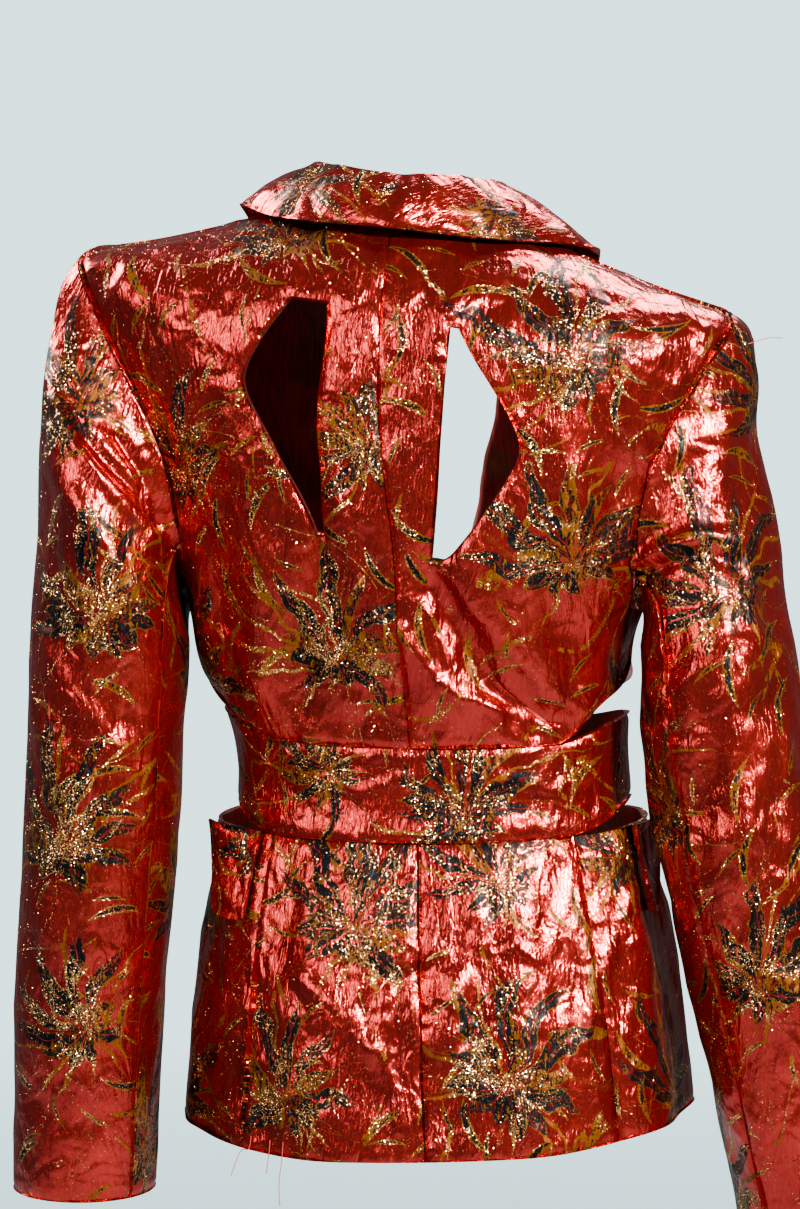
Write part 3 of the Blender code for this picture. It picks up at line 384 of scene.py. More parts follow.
# Creases as the picture shows them, by the start of the piece's name: the path's points, each
# across and down in picture pixels, half width in pixels, height in millimetres (trough: < 0).
CREASES = {
    "back_right": (
        ((443, 565, 484, 623, 506, 679, 529, 708, 547, 727), 9, 2.6),
        ((399, 632, 423, 667, 454, 697, 499, 708, 551, 731), 8, 2.0),
        ((430, 590, 460, 640, 486, 684, 515, 716), 9, -2.0),
        ((455, 575, 500, 640, 540, 690, 590, 716), 10, 1.4),
        ((560, 440, 590, 500, 600, 560), 12, 1.5),
        ((600, 330, 622, 420, 615, 500), 10, -1.5),
        ((442, 330, 455, 300, 470, 262), 9, 1.2),
    ),
    "back_left": (
        ((335, 500, 352, 560, 385, 640), 9, 1.8),
        ((318, 540, 330, 610, 352, 690), 8, -1.5),
        ((225, 640, 262, 690, 310, 735), 10, 1.4),
        ((180, 500, 205, 570, 215, 650), 11, 1.5),
        ((130, 300, 190, 330, 240, 350), 10, 1.0),
        ((118, 436, 140, 468, 160, 505, 172, 545), 6, -4.0),
    ),
    "sleeve_upper_left": (
        ((65, 390, 80, 430, 105, 460, 140, 492, 162, 524), 7, -4.5),
        ((58, 400, 74, 442, 98, 474, 130, 508, 152, 538), 8, 4.0),
        ((118, 436, 140, 468, 160, 505, 172, 545), 6, -4.0),
        ((50, 470, 85, 520, 130, 590), 12, 2.0),
        ((45, 620, 80, 680, 120, 720), 13, -2.0),
        ((30, 700, 60, 770, 110, 800), 13, 2.0),
        ((20, 900, 60, 940, 100, 950), 14, 1.6),
        ((15, 1080, 50, 1120, 90, 1125), 14, -1.6),
    ),
    "sleeve": (
        ((618, 572, 658, 551, 700, 535, 740, 540), 9, 4.5),
        ((618, 588, 660, 567, 702, 552, 740, 566), 6, -4.0),
        ((650, 470, 690, 440, 735, 425), 12, 2.0),
        ((660, 690, 700, 670, 760, 640), 12, 2.2),
        ((672, 740, 720, 715, 780, 700), 12, -2.0),
        ((690, 850, 740, 830, 795, 835), 13, 1.8),
        ((722, 980, 760, 960, 795, 965), 13, -1.8),
    ),
    "peplum": (
        ((633, 892, 622, 925, 605, 965), 9, 2.4),
        ((300, 975, 340, 1010, 372, 1050), 10, 2.2),
        ((372, 1050, 395, 1090, 402, 1130), 9, 2.0),
        ((345, 965, 400, 980, 440, 965), 9, -1.6),
        ((470, 870, 480, 930, 455, 1000), 11, 2.0),
        ((560, 870, 545, 930, 560, 1010), 11, -2.0),
        ((596, 980, 585, 1050, 600, 1110), 10, 1.8),
    ),
    "waistband": (
        ((300, 780, 360, 790, 420, 775), 8, 1.0),
        ((430, 800, 490, 775, 560, 790), 8, 1.0),
    ),
}


def crease_heights(name, points, ways):
    """Height of the listed creases at each point of a piece, in metres."""
    toward = np.array(CAMERA_PLACE) - points
    toward /= np.linalg.norm(toward, axis=1, keepdims=True)
    facing = np.clip((ways * toward).sum(1) * CREASE_FADE, 0.0, 1.0)
    places = in_picture(points)
    total = np.zeros(len(points))
    for start, creases in CREASES.items():
        for path, half_width, height in creases if name.startswith(start) else ():
            away = nearest_on_path(places, path)
            total += height * MILLIMETRE * np.exp(-(away / half_width) ** 2)
    return total * facing


# How crumpled a piece is beside the rest.
CRUMPLE_SHARES = {"sleeve_upper_left": 0.5, "sleeve_under_left": 0.5, "waistband": 0.7,
                  "collar": 0.7, "sleeve_upper_right": 1.15}


def noise_at(places, frequency=1.0, shift=0.0):
    return np.array([noise.noise(Vector(p)) for p in places * frequency + shift])


def crumple_heights(points, size, height):
    """Soft irregular dents and ridges, longer along the body than across."""
    slant = np.array(Euler(CRUMPLE_SLANT).to_matrix())
    places = (points * CRUMPLE_STRETCH / size) @ slant
    ridge = np.sqrt(noise_at(places, *RIDGE_NOISE) ** 2 + RIDGE_ROUNDING)
    fine = noise_at(places, *FINE_NOISE)
    return height * (noise_at(places) + FINE_SHARE * fine - RIDGE_SHARE * ridge)


def rim_distances(points, rims):
    tree = KDTree(int(rims.sum()))
    for number, place in enumerate(points[rims]):
        tree.insert(Vector(place), number)
    tree.balance()
    return np.array([tree.find(Vector(p))[2] for p in points])


def crease_cloth(piece, name):
    """Moves the cloth in and out for its creases and turned edges."""
    cloth = bpy.context.scene.blazer_cloth
    mesh = piece.data
    points = read(mesh.vertices, "co", 3)
    side = read(mesh.attributes["wall_side"].data, "value", 1)
    ways = mean_ways(mesh, side)
    rim_ways = mean_ways(mesh, side == 0.0)
    rims = rim_ways.any(axis=1)
    height = cloth.crumple * CRUMPLE_SHARES.get(name, 1.0)
    heights = crumple_heights(points, cloth.crumple_size, height)
    heights += crease_heights(name, points, ways)
    if rims.any():
        dip = np.exp(-(rim_distances(points, rims) / cloth.seam_dip_width) ** 2)
        heights -= cloth.seam_dip * dip
    moved = points + ways * heights[:, None] + rim_ways * cloth.seam_close
    mesh.vertices.foreach_set("co", moved.ravel())
    mesh.update()


# The flowers: where they are on the map of each piece

# Flowers that show from behind, by piece: place across and down in picture pixels, radius as a
# share of the usual one, turn in degrees.
FLOWERS = {
    "back_left": ((290, 238, 0.95, 20), (368, 440, 0.85, 85), (338, 655, 1.10, -15)),
    "back_right": ((580, 360, 1.05, 30), (572, 560, 1.15, 5)),
    "sleeve_upper_left": ((165, 405, 1.05, 10), (104, 615, 1.15, 15), (62, 850, 1.10, 0),
                          (84, 1030, 0.90, 30)),
    "sleeve_upper_right": ((735, 590, 1.05, 35), (765, 985, 1.05, 10)),
    "sleeve_under_right": ((672, 815, 1.00, 20),),
    "collar": ((470, 190, 0.80, 60), (300, 185, 0.70, 110)),
    "waistband": ((465, 812, 0.90, 0), (330, 770, 0.70, 90)),
    "peplum_back_left": ((355, 925, 1.20, -10), (290, 1100, 0.95, 15)),
    "peplum_back_right": ((512, 1085, 1.15, -20), (500, 880, 0.75, 40)),
}
# The rest lie in half-drop rows, each a little off its row, and turned and sized by chance.
ROW_START = (0.4, 0.3)
ROW_DROP = 0.5
ROW_SLIP = 0.12
FLOWER_SHARES = (0.85, 1.15)
FLOWER_TURN = 50
# They keep this share of the spacing from the flowers that are listed.
FLOWER_CLEARANCE = 0.8
# The cloth faces the camera where the Y of its normal is over this.
FACING_BACK = 0.15


def lattice(low, high, spacing, rng):
    """Places in half-drop rows, each a little off its row."""
    places = []
    columns = int((high[0] - low[0]) / spacing) + 2
    rows = int((high[1] - low[1]) / spacing) + 2
    for i in range(-1, columns):
        for j in range(-1, rows):
            drop = ROW_DROP if i % 2 else 0.0
            away = rng.uniform(-ROW_SLIP, ROW_SLIP, 2)
            places.append((low[0] + (i + ROW_START[0] + away[0]) * spacing,
                           low[1] + (j + ROW_START[1] + drop + away[1]) * spacing))
    return places


def set_flowers(piece, name):
    """Two maps for the weave: each face's place in its nearest flower, and that flower's kind."""
    brocade = bpy.context.scene.blazer_brocade
    mesh = piece.data
    flat = read(mesh.uv_layers["cloth"].uv, "vector", 2)
    starts = read(mesh.polygons, "loop_start", 1, np.int32)
    totals = read(mesh.polygons, "loop_total", 1, np.int32)
    means = np.add.reduceat(flat, starts, axis=0) / totals[:, None]
    outside = read(mesh.polygons, "material_index", 1, np.int32) == 0
    seen = in_picture(read(mesh.polygons, "center", 3))
    facing = read(mesh.polygons, "normal", 3)[:, 1] > FACING_BACK
    rng = np.random.default_rng(brocade.seed + sum(map(ord, name)))
    blooms = []
    for across, down, share, turn in FLOWERS.get(name, ()):
        away = np.hypot(seen[:, 0] - across, seen[:, 1] - down)
        away[~(outside & facing)] = FAR
        blooms.append((*means[int(away.argmin())], share, turn))
    shown = means[outside]
    for u, v in lattice(shown.min(0), shown.max(0), brocade.flower_spacing, rng):
        near = [math.hypot(u - b[0], v - b[1]) for b in blooms]
        if not near or min(near) > FLOWER_CLEARANCE * brocade.flower_spacing:
            blooms.append((u, v, rng.uniform(*FLOWER_SHARES),
                           rng.uniform(-FLOWER_TURN, FLOWER_TURN)))
    centres = np.array([b[:2] for b in blooms])
    nearest = np.argmin(np.linalg.norm(means[:, None] - centres[None], axis=2), axis=1)
    corner_bloom = np.repeat(nearest, totals)
    sizes = np.array([b[2] for b in blooms]) * brocade.flower_radius
    turns = np.radians([b[3] for b in blooms])
    kinds = rng.uniform(0.0, 1.0, len(blooms))
    away = (flat - centres[corner_bloom]) / sizes[corner_bloom][:, None]
    cosine, sine = np.cos(turns[corner_bloom]), np.sin(turns[corner_bloom])
    local = np.stack([away[:, 0] * cosine + away[:, 1] * sine,
                      away[:, 1] * cosine - away[:, 0] * sine], axis=1)
    add_maps(mesh, {"flower": local, "bloom": np.stack([kinds[corner_bloom]] * 2, axis=1)})


# Materials


def add(tree, kind, sockets=(), **settings):
    """Adds a shader node with its settings. A math node goes by its operation. The sockets are
    set or linked in their order, or by their numbers or names. A colour mix has its share in
    socket 0 and its colours in 6 and 7, and comes out of socket 2."""
    if kind.isupper():
        settings["operation"] = kind
        kind = "Math"
    made = tree.nodes.new("ShaderNode" + kind)
    for setting, value in settings.items():
        setattr(made, setting, value)
    for socket, value in sockets.items() if isinstance(sockets, dict) else enumerate(sockets):
        if isinstance(value, bpy.types.Node):
            tree.links.new(value.outputs[0], made.inputs[socket])
        elif isinstance(value, bpy.types.NodeSocket):
            tree.links.new(value, made.inputs[socket])
        else:
            made.inputs[socket].default_value = value
    return made


MIDDLE_GREY = (0.5, 0.5, 0.5)

# Noises on the cloth: how many to the metre across and along the warp, detail, distortion.
# Threads are 0.3 mm and don't show, so the jags at a float's edge are drawn 1.1 mm wide.
NOISES = {
    "jag": (900.0, 520.0, 1.0, 0.0),
    "crinkle": (660.0, 200.0, 2.0, 1.2),
    "torn": (330.0, 110.0, 2.0, 0.0),
    "wrinkles": (120.0, 42.0, 1.5, 0.9),
    "dents": (50.0, 50.0, 1.2, 0.6),
    "patches": (45.0, 45.0, 2.0, 0.0),
    "bend": (38.0, 38.0, 2.0, 0.0),
    "swell": (30.0, 30.0, 1.0, 0.0),
    "shade": (26.0, 26.0, 3.0, 0.0),
    "breaks": (13.0, 13.0, 0.0, 0.0),
    "flow": (8.5, 8.5, 1.0, 0.7),
    "leaf_turns": (6.0, 6.0, 0.0, 0.0),
    "reverse_yarns": (420.0, 60.0, 3.0, 0.0),
    "reverse_patches": (22.0, 22.0, 2.0, 0.0),
}

# What the parts of the weave add up to: the start, and each part's share. The relief is in
# millimetres.
SUMS = {
    "hatch": (0.0, {"torn": 1.0, "jag": 0.45}),
    "stem_reach": (-0.003, {"swell": 0.017, "jag": 0.008}),
    "glitter_chance": (0.020, {"rims": 0.62, "cores": 0.22, "centre": 1.0}),
    # The ground's red rises with the crinkle, which raises the relief too: the deep red is painted
    # shade in the crinkles' hollows, and the shade noise gives a random tone.
    "ground": (-0.30, {"crinkle": 0.9, "shade": 0.7}),
    "metal": (0.90, {"floats": -0.45}),
    "roughness": (0.110, {"shade": 0.16, "floats": 0.22, "glitter": -0.20}),
    "relief": (0.0, {"dents": 1.8, "wrinkles": 1.10, "crinkle": 0.24, "floats": 0.20}),
}

# Rings of petals, in flower radii: how many, shortest, longest, half width, curl.
OUTER_RING = (12, 0.65, 1.40, 0.125, 0.35)
INNER_RING = (8, 0.45, 0.95, 0.110, -0.3)
RAYS = (23, 0.90, 1.90, 0.030, 0.8)
INNER_SHIFT = (0.04, 0.10, 0.0)
PETAL_BEND = (0.34, 0.34, 0.0)
PETAL_LIFT = 0.52
PETAL_SWELL = 1.3
PETAL_JAG = 0.04
PETAL_RIM = 0.012
PETAL_VEIN = 0.010
PICK_STEP = 37.0

# Loose leaves, in metres: size of the cell that each lies in, half its length and width, width
# of its rim, and the lowest picks for one to be there and to be dark.
LEAVES = (
    (0.024, 0.0125, 0.0015, 0.0008, 0.60, 0.60),
    (0.040, 0.0210, 0.0028, 0.0011, 0.55, 0.45),
)
LEAF_STRAY = 0.75
LEAF_FLOW = 9.0
LEAF_TURN = 1.3
LEAF_BOW = 14.0
LEAF_JAG = 0.0022

# Lowest pick for a ray to be there, and for a petal's core or rim to be dark.
RAYS_SHOWN = 0.70
OUTER_DARK = 0.30
INNER_DARK = 0.45
RIM_DARK = 0.55
# Lowest value of a noise for a stem, the black yarn or the bare ground to show.
STEM_BREAKS = 0.47
STEM_HATCH = 0.46
BLACK_HATCH = 0.33
SPECKLE_HATCH = 0.52
BARE_CORE = 0.66
BARE_VEIN = 0.42

# Glitter yarn comes up in single stitches, 0.7 mm apart.
STITCHES = 1450.0
STITCH_RADIUS = 0.43
# Two ranges of a value and what they become: more glitter near a flower's middle, where the
# value is the radius, and in patches.
CENTRE_GLITTER = (0.0, 0.6, 0.06, 0.0)
PATCH_GLITTER = (0.43, 0.58, 0.10, 1.2)
YARN_SPECULAR = 0.2

# The wrong side: its share of old gold, its painted shade between the raised yarns, its relief,
# and its finish.
REVERSE_GOLD = (0.52, 0.60, 0.0, 0.6)
REVERSE_SHADE = (0.3, 0.7, 0.55, 1.0)
REVERSE_RELIEF = 0.0004
REVERSE_ROUGHNESS = 0.62
REVERSE_METAL = 0.15


def new_material(name):
    material = bpy.data.materials.new(name)
    material.use_nodes = True
    return material, material.node_tree, material.node_tree.nodes["Principled BSDF"]


def soft_noise(tree, cloth, name):
    """One of the noises on the cloth, stretched along the warp."""
    across, along, detail, distortion = NOISES[name]
    stretched = add(tree, "VectorMath", (cloth, (across, along, 1.0)), operation="MULTIPLY")
    return add(tree, "TexNoise", {"Vector": stretched, "Scale": 1.0, "Detail": detail,
                                  "Distortion": distortion}, noise_dimensions="2D")


def sum_of(tree, name, **parts):
    """One of the sums of the weave's parts."""
    total, shares = SUMS[name]
    for part, share in shares.items():
        total = add(tree, "MULTIPLY_ADD", (parts[part], share, total))
    return total


def petals(tree, place, seed, jag, count, shortest, longest, width, curl):
    """A ring of lens-shaped petals, longer where they point up. Returns how far inside one a
    point is, its pick, and how far the point is from the flower's middle and the petal's."""
    parts = add(tree, "SeparateXYZ", (place,))
    radius = add(tree, "VectorMath", (place,), operation="LENGTH").outputs["Value"]
    turn = add(tree, "ARCTAN2", (parts.outputs["Y"], parts.outputs["X"]))
    along = add(tree, "MULTIPLY_ADD", (turn, count / math.tau, seed))
    curled = add(tree, "MULTIPLY_ADD", (radius, curl, along))
    cell = add(tree, "FLOOR", (curled,))
    across = add(tree, "SUBTRACT", (curled, cell))
    middle = add(tree, "SUBTRACT", (across, 0.5))
    aside = add(tree, "ABSOLUTE", (middle,))
    aside = add(tree, "MULTIPLY", (aside, radius))
    aside = add(tree, "MULTIPLY", (aside, math.tau / count))
    wrapped = add(tree, "FLOORED_MODULO", (cell, count))
    picked = add(tree, "MULTIPLY_ADD", (seed, PICK_STEP, wrapped))
    pick = add(tree, "TexWhiteNoise", {"W": picked}, noise_dimensions="1D")
    length = add(tree, "MULTIPLY_ADD", (pick, longest - shortest, shortest))
    upward = add(tree, "DIVIDE", (parts.outputs["Y"], radius))
    upward = add(tree, "MULTIPLY_ADD", (upward, PETAL_LIFT, 1.0))
    length = add(tree, "MULTIPLY", (length, upward))
    share = add(tree, "DIVIDE", (radius, length), use_clamp=True)
    swell = add(tree, "POWER", (share, PETAL_SWELL))
    swell = add(tree, "MULTIPLY", (swell, math.pi))
    swell = add(tree, "SINE", (swell,))
    half = add(tree, "MULTIPLY", (swell, width))
    inside = add(tree, "SUBTRACT", (half, aside))
    jagged = add(tree, "MULTIPLY_ADD", (jag, PETAL_JAG, inside))
    return jagged, pick, radius, aside


def leaves(tree, cloth, jag, size, half_length, half_width):
    """Loose leaves, one to a cell of the given size: how far inside one a point is, in
    metres, and its pick. They turn with a slow noise, so neighbours lie alongside."""
    cells = add(tree, "TexVoronoi", {"Vector": cloth, "Scale": 1.0 / size,
                                     "Randomness": LEAF_STRAY}, voronoi_dimensions="2D")
    pick = add(tree, "SeparateColor", (cells.outputs["Color"],))
    away = add(tree, "VectorMath", (cloth, cells.outputs["Position"]), operation="SUBTRACT")
    slow = soft_noise(tree, cells.outputs["Position"], "leaf_turns")
    turn = add(tree, "MULTIPLY", (slow, LEAF_FLOW))
    turn = add(tree, "MULTIPLY_ADD", (pick.outputs[1], LEAF_TURN, turn))
    away = add(tree, "VectorRotate", {"Vector": away, "Angle": turn}, rotation_type="Z_AXIS")
    parts = add(tree, "SeparateXYZ", (away,))
    bow = add(tree, "MULTIPLY", (parts.outputs["X"], parts.outputs["X"]))
    aside = add(tree, "MULTIPLY_ADD", (bow, LEAF_BOW, parts.outputs["Y"]))
    aside = add(tree, "ABSOLUTE", (aside,))
    shape = add(tree, "MULTIPLY_ADD", (bow, -half_width / half_length ** 2, half_width))
    inside = add(tree, "SUBTRACT", (shape, aside))
    return add(tree, "MULTIPLY_ADD", (jag, LEAF_JAG, inside)), pick


def brocade_material():
    """Jacquard in a polyester and metal yarn: a red satin ground that crinkles along the warp,
    with painted shade in the crinkles' hollows, and floats of old gold, black and glitter yarn on
    it. It shines like crumpled foil."""
    colours = bpy.context.scene.blazer_brocade
    material, tree, shader = new_material("Metallic jacquard brocade")
    cloth, flower, bloom = [add(tree, "UVMap", uv_map=name)
                            for name in ("cloth", "flower", "bloom")]
    seed = add(tree, "SeparateXYZ", (bloom,))
    jag = add(tree, "SUBTRACT", (soft_noise(tree, cloth, "jag"), 0.5))
    crinkle = soft_noise(tree, cloth, "crinkle")
    torn = soft_noise(tree, cloth, "torn")
    shade = soft_noise(tree, cloth, "shade")
    # Where the weave changes between its yarns, it does so in short hatches along the warp.
    hatch = sum_of(tree, "hatch", torn=torn, jag=jag)

    def over(value, limit):
        return add(tree, "GREATER_THAN", (value, limit))

    def both(one, other):
        return add(tree, "MULTIPLY", (one, other))

    def either(one, other):
        return add(tree, "MAXIMUM", (one, other))

    def without(one, other):
        return add(tree, "SUBTRACT", (one, other), use_clamp=True)

    # Petals bend a little, so their place is pushed by a soft noise.
    bend = add(tree, "VectorMath", (soft_noise(tree, cloth, "bend").outputs["Color"], MIDDLE_GREY),
               operation="SUBTRACT")
    bend = add(tree, "VectorMath", (bend, PETAL_BEND), operation="MULTIPLY")
    place = add(tree, "VectorMath", (flower, bend), operation="ADD")
    shifted = add(tree, "VectorMath", (place, INNER_SHIFT), operation="ADD")
    outer, outer_pick, radius, aside = petals(tree, place, seed, jag, *OUTER_RING)
    inner, inner_pick = petals(tree, shifted, seed, jag, *INNER_RING)[:2]
    rays, ray_pick = petals(tree, place, seed, jag, *RAYS)[:2]

    # Each petal or leaf has a rim of gold and glitter, 0.5 to 1 mm wide, and a dark or gold core.
    outer_core = over(outer, PETAL_RIM)
    outer_rim = without(over(outer, 0.0), outer_core)
    inner_core = over(inner, PETAL_RIM)
    inner_rim = without(over(inner, 0.0), inner_core)
    dark = either(both(outer_core, over(outer_pick, OUTER_DARK)),
                  both(inner_core, over(inner_pick, INNER_DARK)))
    dark = either(without(dark, inner_rim), both(outer_rim, over(outer_pick, RIM_DARK)))
    rims = either(outer_rim, inner_rim)
    cores = either(outer_core, inner_core)
    for size, half_length, half_width, rim, lowest, lowest_dark in LEAVES:
        inside, pick = leaves(tree, cloth, jag, size, half_length, half_width)
        there = both(over(inside, 0.0), over(pick.outputs[0], lowest))
        core = both(over(inside, rim), there)
        rims = either(rims, without(there, core))
        cores = either(cores, core)
        dark = either(dark, both(core, over(pick.outputs[2], lowest_dark)))

    # Stems: long thin lines that follow a soft noise, broken by another. Rays join them.
    off_line = add(tree, "SUBTRACT", (soft_noise(tree, cloth, "flow"), 0.5))
    off_line = add(tree, "ABSOLUTE", (off_line,))
    reach = sum_of(tree, "stem_reach", swell=soft_noise(tree, cloth, "swell"), jag=jag)
    stem = both(over(reach, off_line), over(soft_noise(tree, cloth, "breaks"), STEM_BREAKS))
    stem = both(stem, over(hatch, STEM_HATCH))
    rims = either(rims, either(stem, both(over(rays, 0.0), over(ray_pick, RAYS_SHOWN))))

    # Each stitch of glitter yarn has a chance to come up.
    stitches = add(tree, "TexVoronoi", {"Vector": cloth, "Scale": STITCHES},
                   voronoi_dimensions="2D")
    stitch = over(STITCH_RADIUS, stitches.outputs["Distance"])
    luck = add(tree, "SeparateColor", (stitches.outputs["Color"],))
    centre = add(tree, "MapRange", (radius, *CENTRE_GLITTER))
    patchy = add(tree, "MapRange", (soft_noise(tree, cloth, "patches"), *PATCH_GLITTER))
    chance = sum_of(tree, "glitter_chance", rims=rims, cores=cores, centre=centre)
    glitter = both(stitch, over(both(chance, patchy), luck.outputs[0]))

    # The ground shows in places between the floats, and as a vein along a petal.
    vein = both(over(PETAL_VEIN, aside), outer_core)
    bare = either(both(over(torn, BARE_CORE), cores), both(vein, over(torn, BARE_VEIN)))
    gold = without(either(rims, cores), bare)
    black = either(both(dark, over(hatch, BLACK_HATCH)), both(cores, over(hatch, SPECKLE_HATCH)))
    black = without(black, bare)

    # The colours, from the ground up. The ground is painted darker in the crinkles' hollows, as
    # shade.
    colour = (*colours.deep_red, 1.0)
    for part, yarn in ((sum_of(tree, "ground", crinkle=crinkle, shade=shade), colours.red),
                       (gold, colours.mustard), (black, colours.black),
                       (glitter, colours.glitter)):
        colour = add(tree, "Mix", {0: part, 6: colour, 7: (*yarn, 1.0)},
                     data_type="RGBA").outputs[2]
    tree.links.new(colour, shader.inputs["Base Color"])

    # Floats are matt beside the ground, and the glitter yarn is bright metal.
    floats = either(gold, black)
    metal = either(sum_of(tree, "metal", floats=floats), glitter)
    tree.links.new(metal.outputs[0], shader.inputs["Metallic"])
    rough = sum_of(tree, "roughness", shade=shade, floats=floats, glitter=glitter)
    tree.links.new(rough.outputs[0], shader.inputs["Roughness"])

    # Dents, wrinkles and crinkle mirror the lights, and each stitch of glitter is tilted.
    relief = sum_of(tree, "relief", dents=soft_noise(tree, cloth, "dents"), floats=floats,
                    wrinkles=soft_noise(tree, cloth, "wrinkles"), crinkle=crinkle)
    bump = add(tree, "Bump", {"Strength": 1.0, "Distance": MILLIMETRE, "Height": relief})
    facet = add(tree, "VectorMath", (stitches.outputs["Color"], MIDDLE_GREY), operation="SUBTRACT")
    facet = add(tree, "VectorMath", {0: facet, "Scale": glitter}, operation="SCALE")
    normal = add(tree, "VectorMath", (facet, bump), operation="ADD")
    normal = add(tree, "VectorMath", (normal,), operation="NORMALIZE")
    tree.links.new(normal.outputs[0], shader.inputs["Normal"])
    shader.inputs["Specular IOR Level"].default_value = YARN_SPECULAR
    return material


def reverse_material():
    """The wrong side of the jacquard: the floats' yarns lie loose here, matt and dark, with
    painted shade between the raised yarns.
    """
    colours = bpy.context.scene.blazer_brocade
    material, tree, shader = new_material("Jacquard wrong side")
    cloth = add(tree, "UVMap", uv_map="cloth")
    yarns = soft_noise(tree, cloth, "reverse_yarns")
    mixed = add(tree, "MapRange", (soft_noise(tree, cloth, "reverse_patches"), *REVERSE_GOLD))
    colour = add(tree, "Mix", {0: mixed, 6: (*colours.reverse, 1.0),
                               7: (*colours.mustard, 1.0)}, data_type="RGBA")
    # The colour is darkened where the yarn relief is low: painted shade between the raised yarns.
    dark = add(tree, "MapRange", (yarns, *REVERSE_SHADE))
    colour = add(tree, "VectorMath", {0: colour.outputs[2], "Scale": dark}, operation="SCALE")
    tree.links.new(colour.outputs[0], shader.inputs["Base Color"])
    bump = add(tree, "Bump", {"Strength": 1.0, "Distance": REVERSE_RELIEF, "Height": yarns})
    tree.links.new(bump.outputs[0], shader.inputs["Normal"])
    shader.inputs["Roughness"].default_value = REVERSE_ROUGHNESS
    shader.inputs["Metallic"].default_value = REVERSE_METAL
    return material


def shared(maker):
    """A material that is made once and used by every piece."""
    key = "blazer_" + maker.__name__
    if key not in bpy.context.scene:
        bpy.context.scene[key] = maker().name
    return bpy.data.materials[bpy.context.scene[key]]


# The pieces


WHOLE_BROCADE = ("collar", "flap_left", "flap_right")


def dress(name):
    """Makes the finished cloth of one plain wall and puts it in the wall's place."""
    piece = plain_copy(name)
    mark_sides(piece, name, name in WHOLE_BROCADE)
    width, length, area = lay_flat(piece, list(SEWN_TO).index(name))
    smooth = piece.modifiers.new("Fine surface", "SUBSURF")
    smooth.levels = bpy.context.scene.blazer_cloth.fineness
    smooth.render_levels = smooth.levels
    apply_modifiers(piece)
    crease_cloth(piece, name)
    set_flowers(piece, name)
    piece.data.materials.append(shared(brocade_material))
    piece.data.materials.append(shared(reverse_material))
    take(piece)
    bpy.ops.object.shade_smooth_by_angle(angle=bpy.context.scene.blazer_cloth.sharp_angle)
    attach(piece, "root")
    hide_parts(name)


def dress_all(*starts):
    """Dresses the pieces whose names start so."""
    for name in SEWN_TO:
        if name.startswith(starts):
            dress(name)
    return {"FINISHED"}


class BLAZER_OT_body(Operator):
    """Dresses the two backs with their cut-outs and the two fronts with their lapels"""
    bl_idname = "blazer.body"
    bl_label = "Backs and fronts"

    def execute(self, context):
        return dress_all("back", "front")


class BLAZER_OT_waist(Operator):
    """Dresses the band, the skirt pieces and the pocket flaps"""
    bl_idname = "blazer.waist"
    bl_label = "Band, peplum and flaps"

    def execute(self, context):
        return dress_all("waistband", "peplum", "flap")


class BLAZER_OT_sleeves(Operator):
    """Dresses the upper and under pieces of both sleeves"""
    bl_idname = "blazer.sleeves"
    bl_label = "Sleeves"

    def execute(self, context):
        return dress_all("sleeve")


class BLAZER_OT_collar(Operator):
    """Dresses the folded collar"""
    bl_idname = "blazer.collar"
    bl_label = "Collar"

    def execute(self, context):
        return dress_all("collar")


# The button: sides, room under the cloth, its rim's share of its height and steps, and the
# insets and rises of its dome, on which the flower is set by the shifts and the bloom.
BUTTON_SIDES = 48
BUTTON_ROOM = 0.0004
BUTTON_RIM = 0.36
BUTTON_RIM_STEPS = 4
BUTTON_DOME = ((0.0026, 0.00025), (0.0026, 0.00015), (0.0026, 0.00008))
BUTTON_CLOTH_SHIFT = -0.3
BUTTON_FLOWER_SHIFT = (0.22, -0.05)
BUTTON_BLOOM = 0.37
# A face looks up where the Z of its normal is over this.
FACING_UP = 0.9


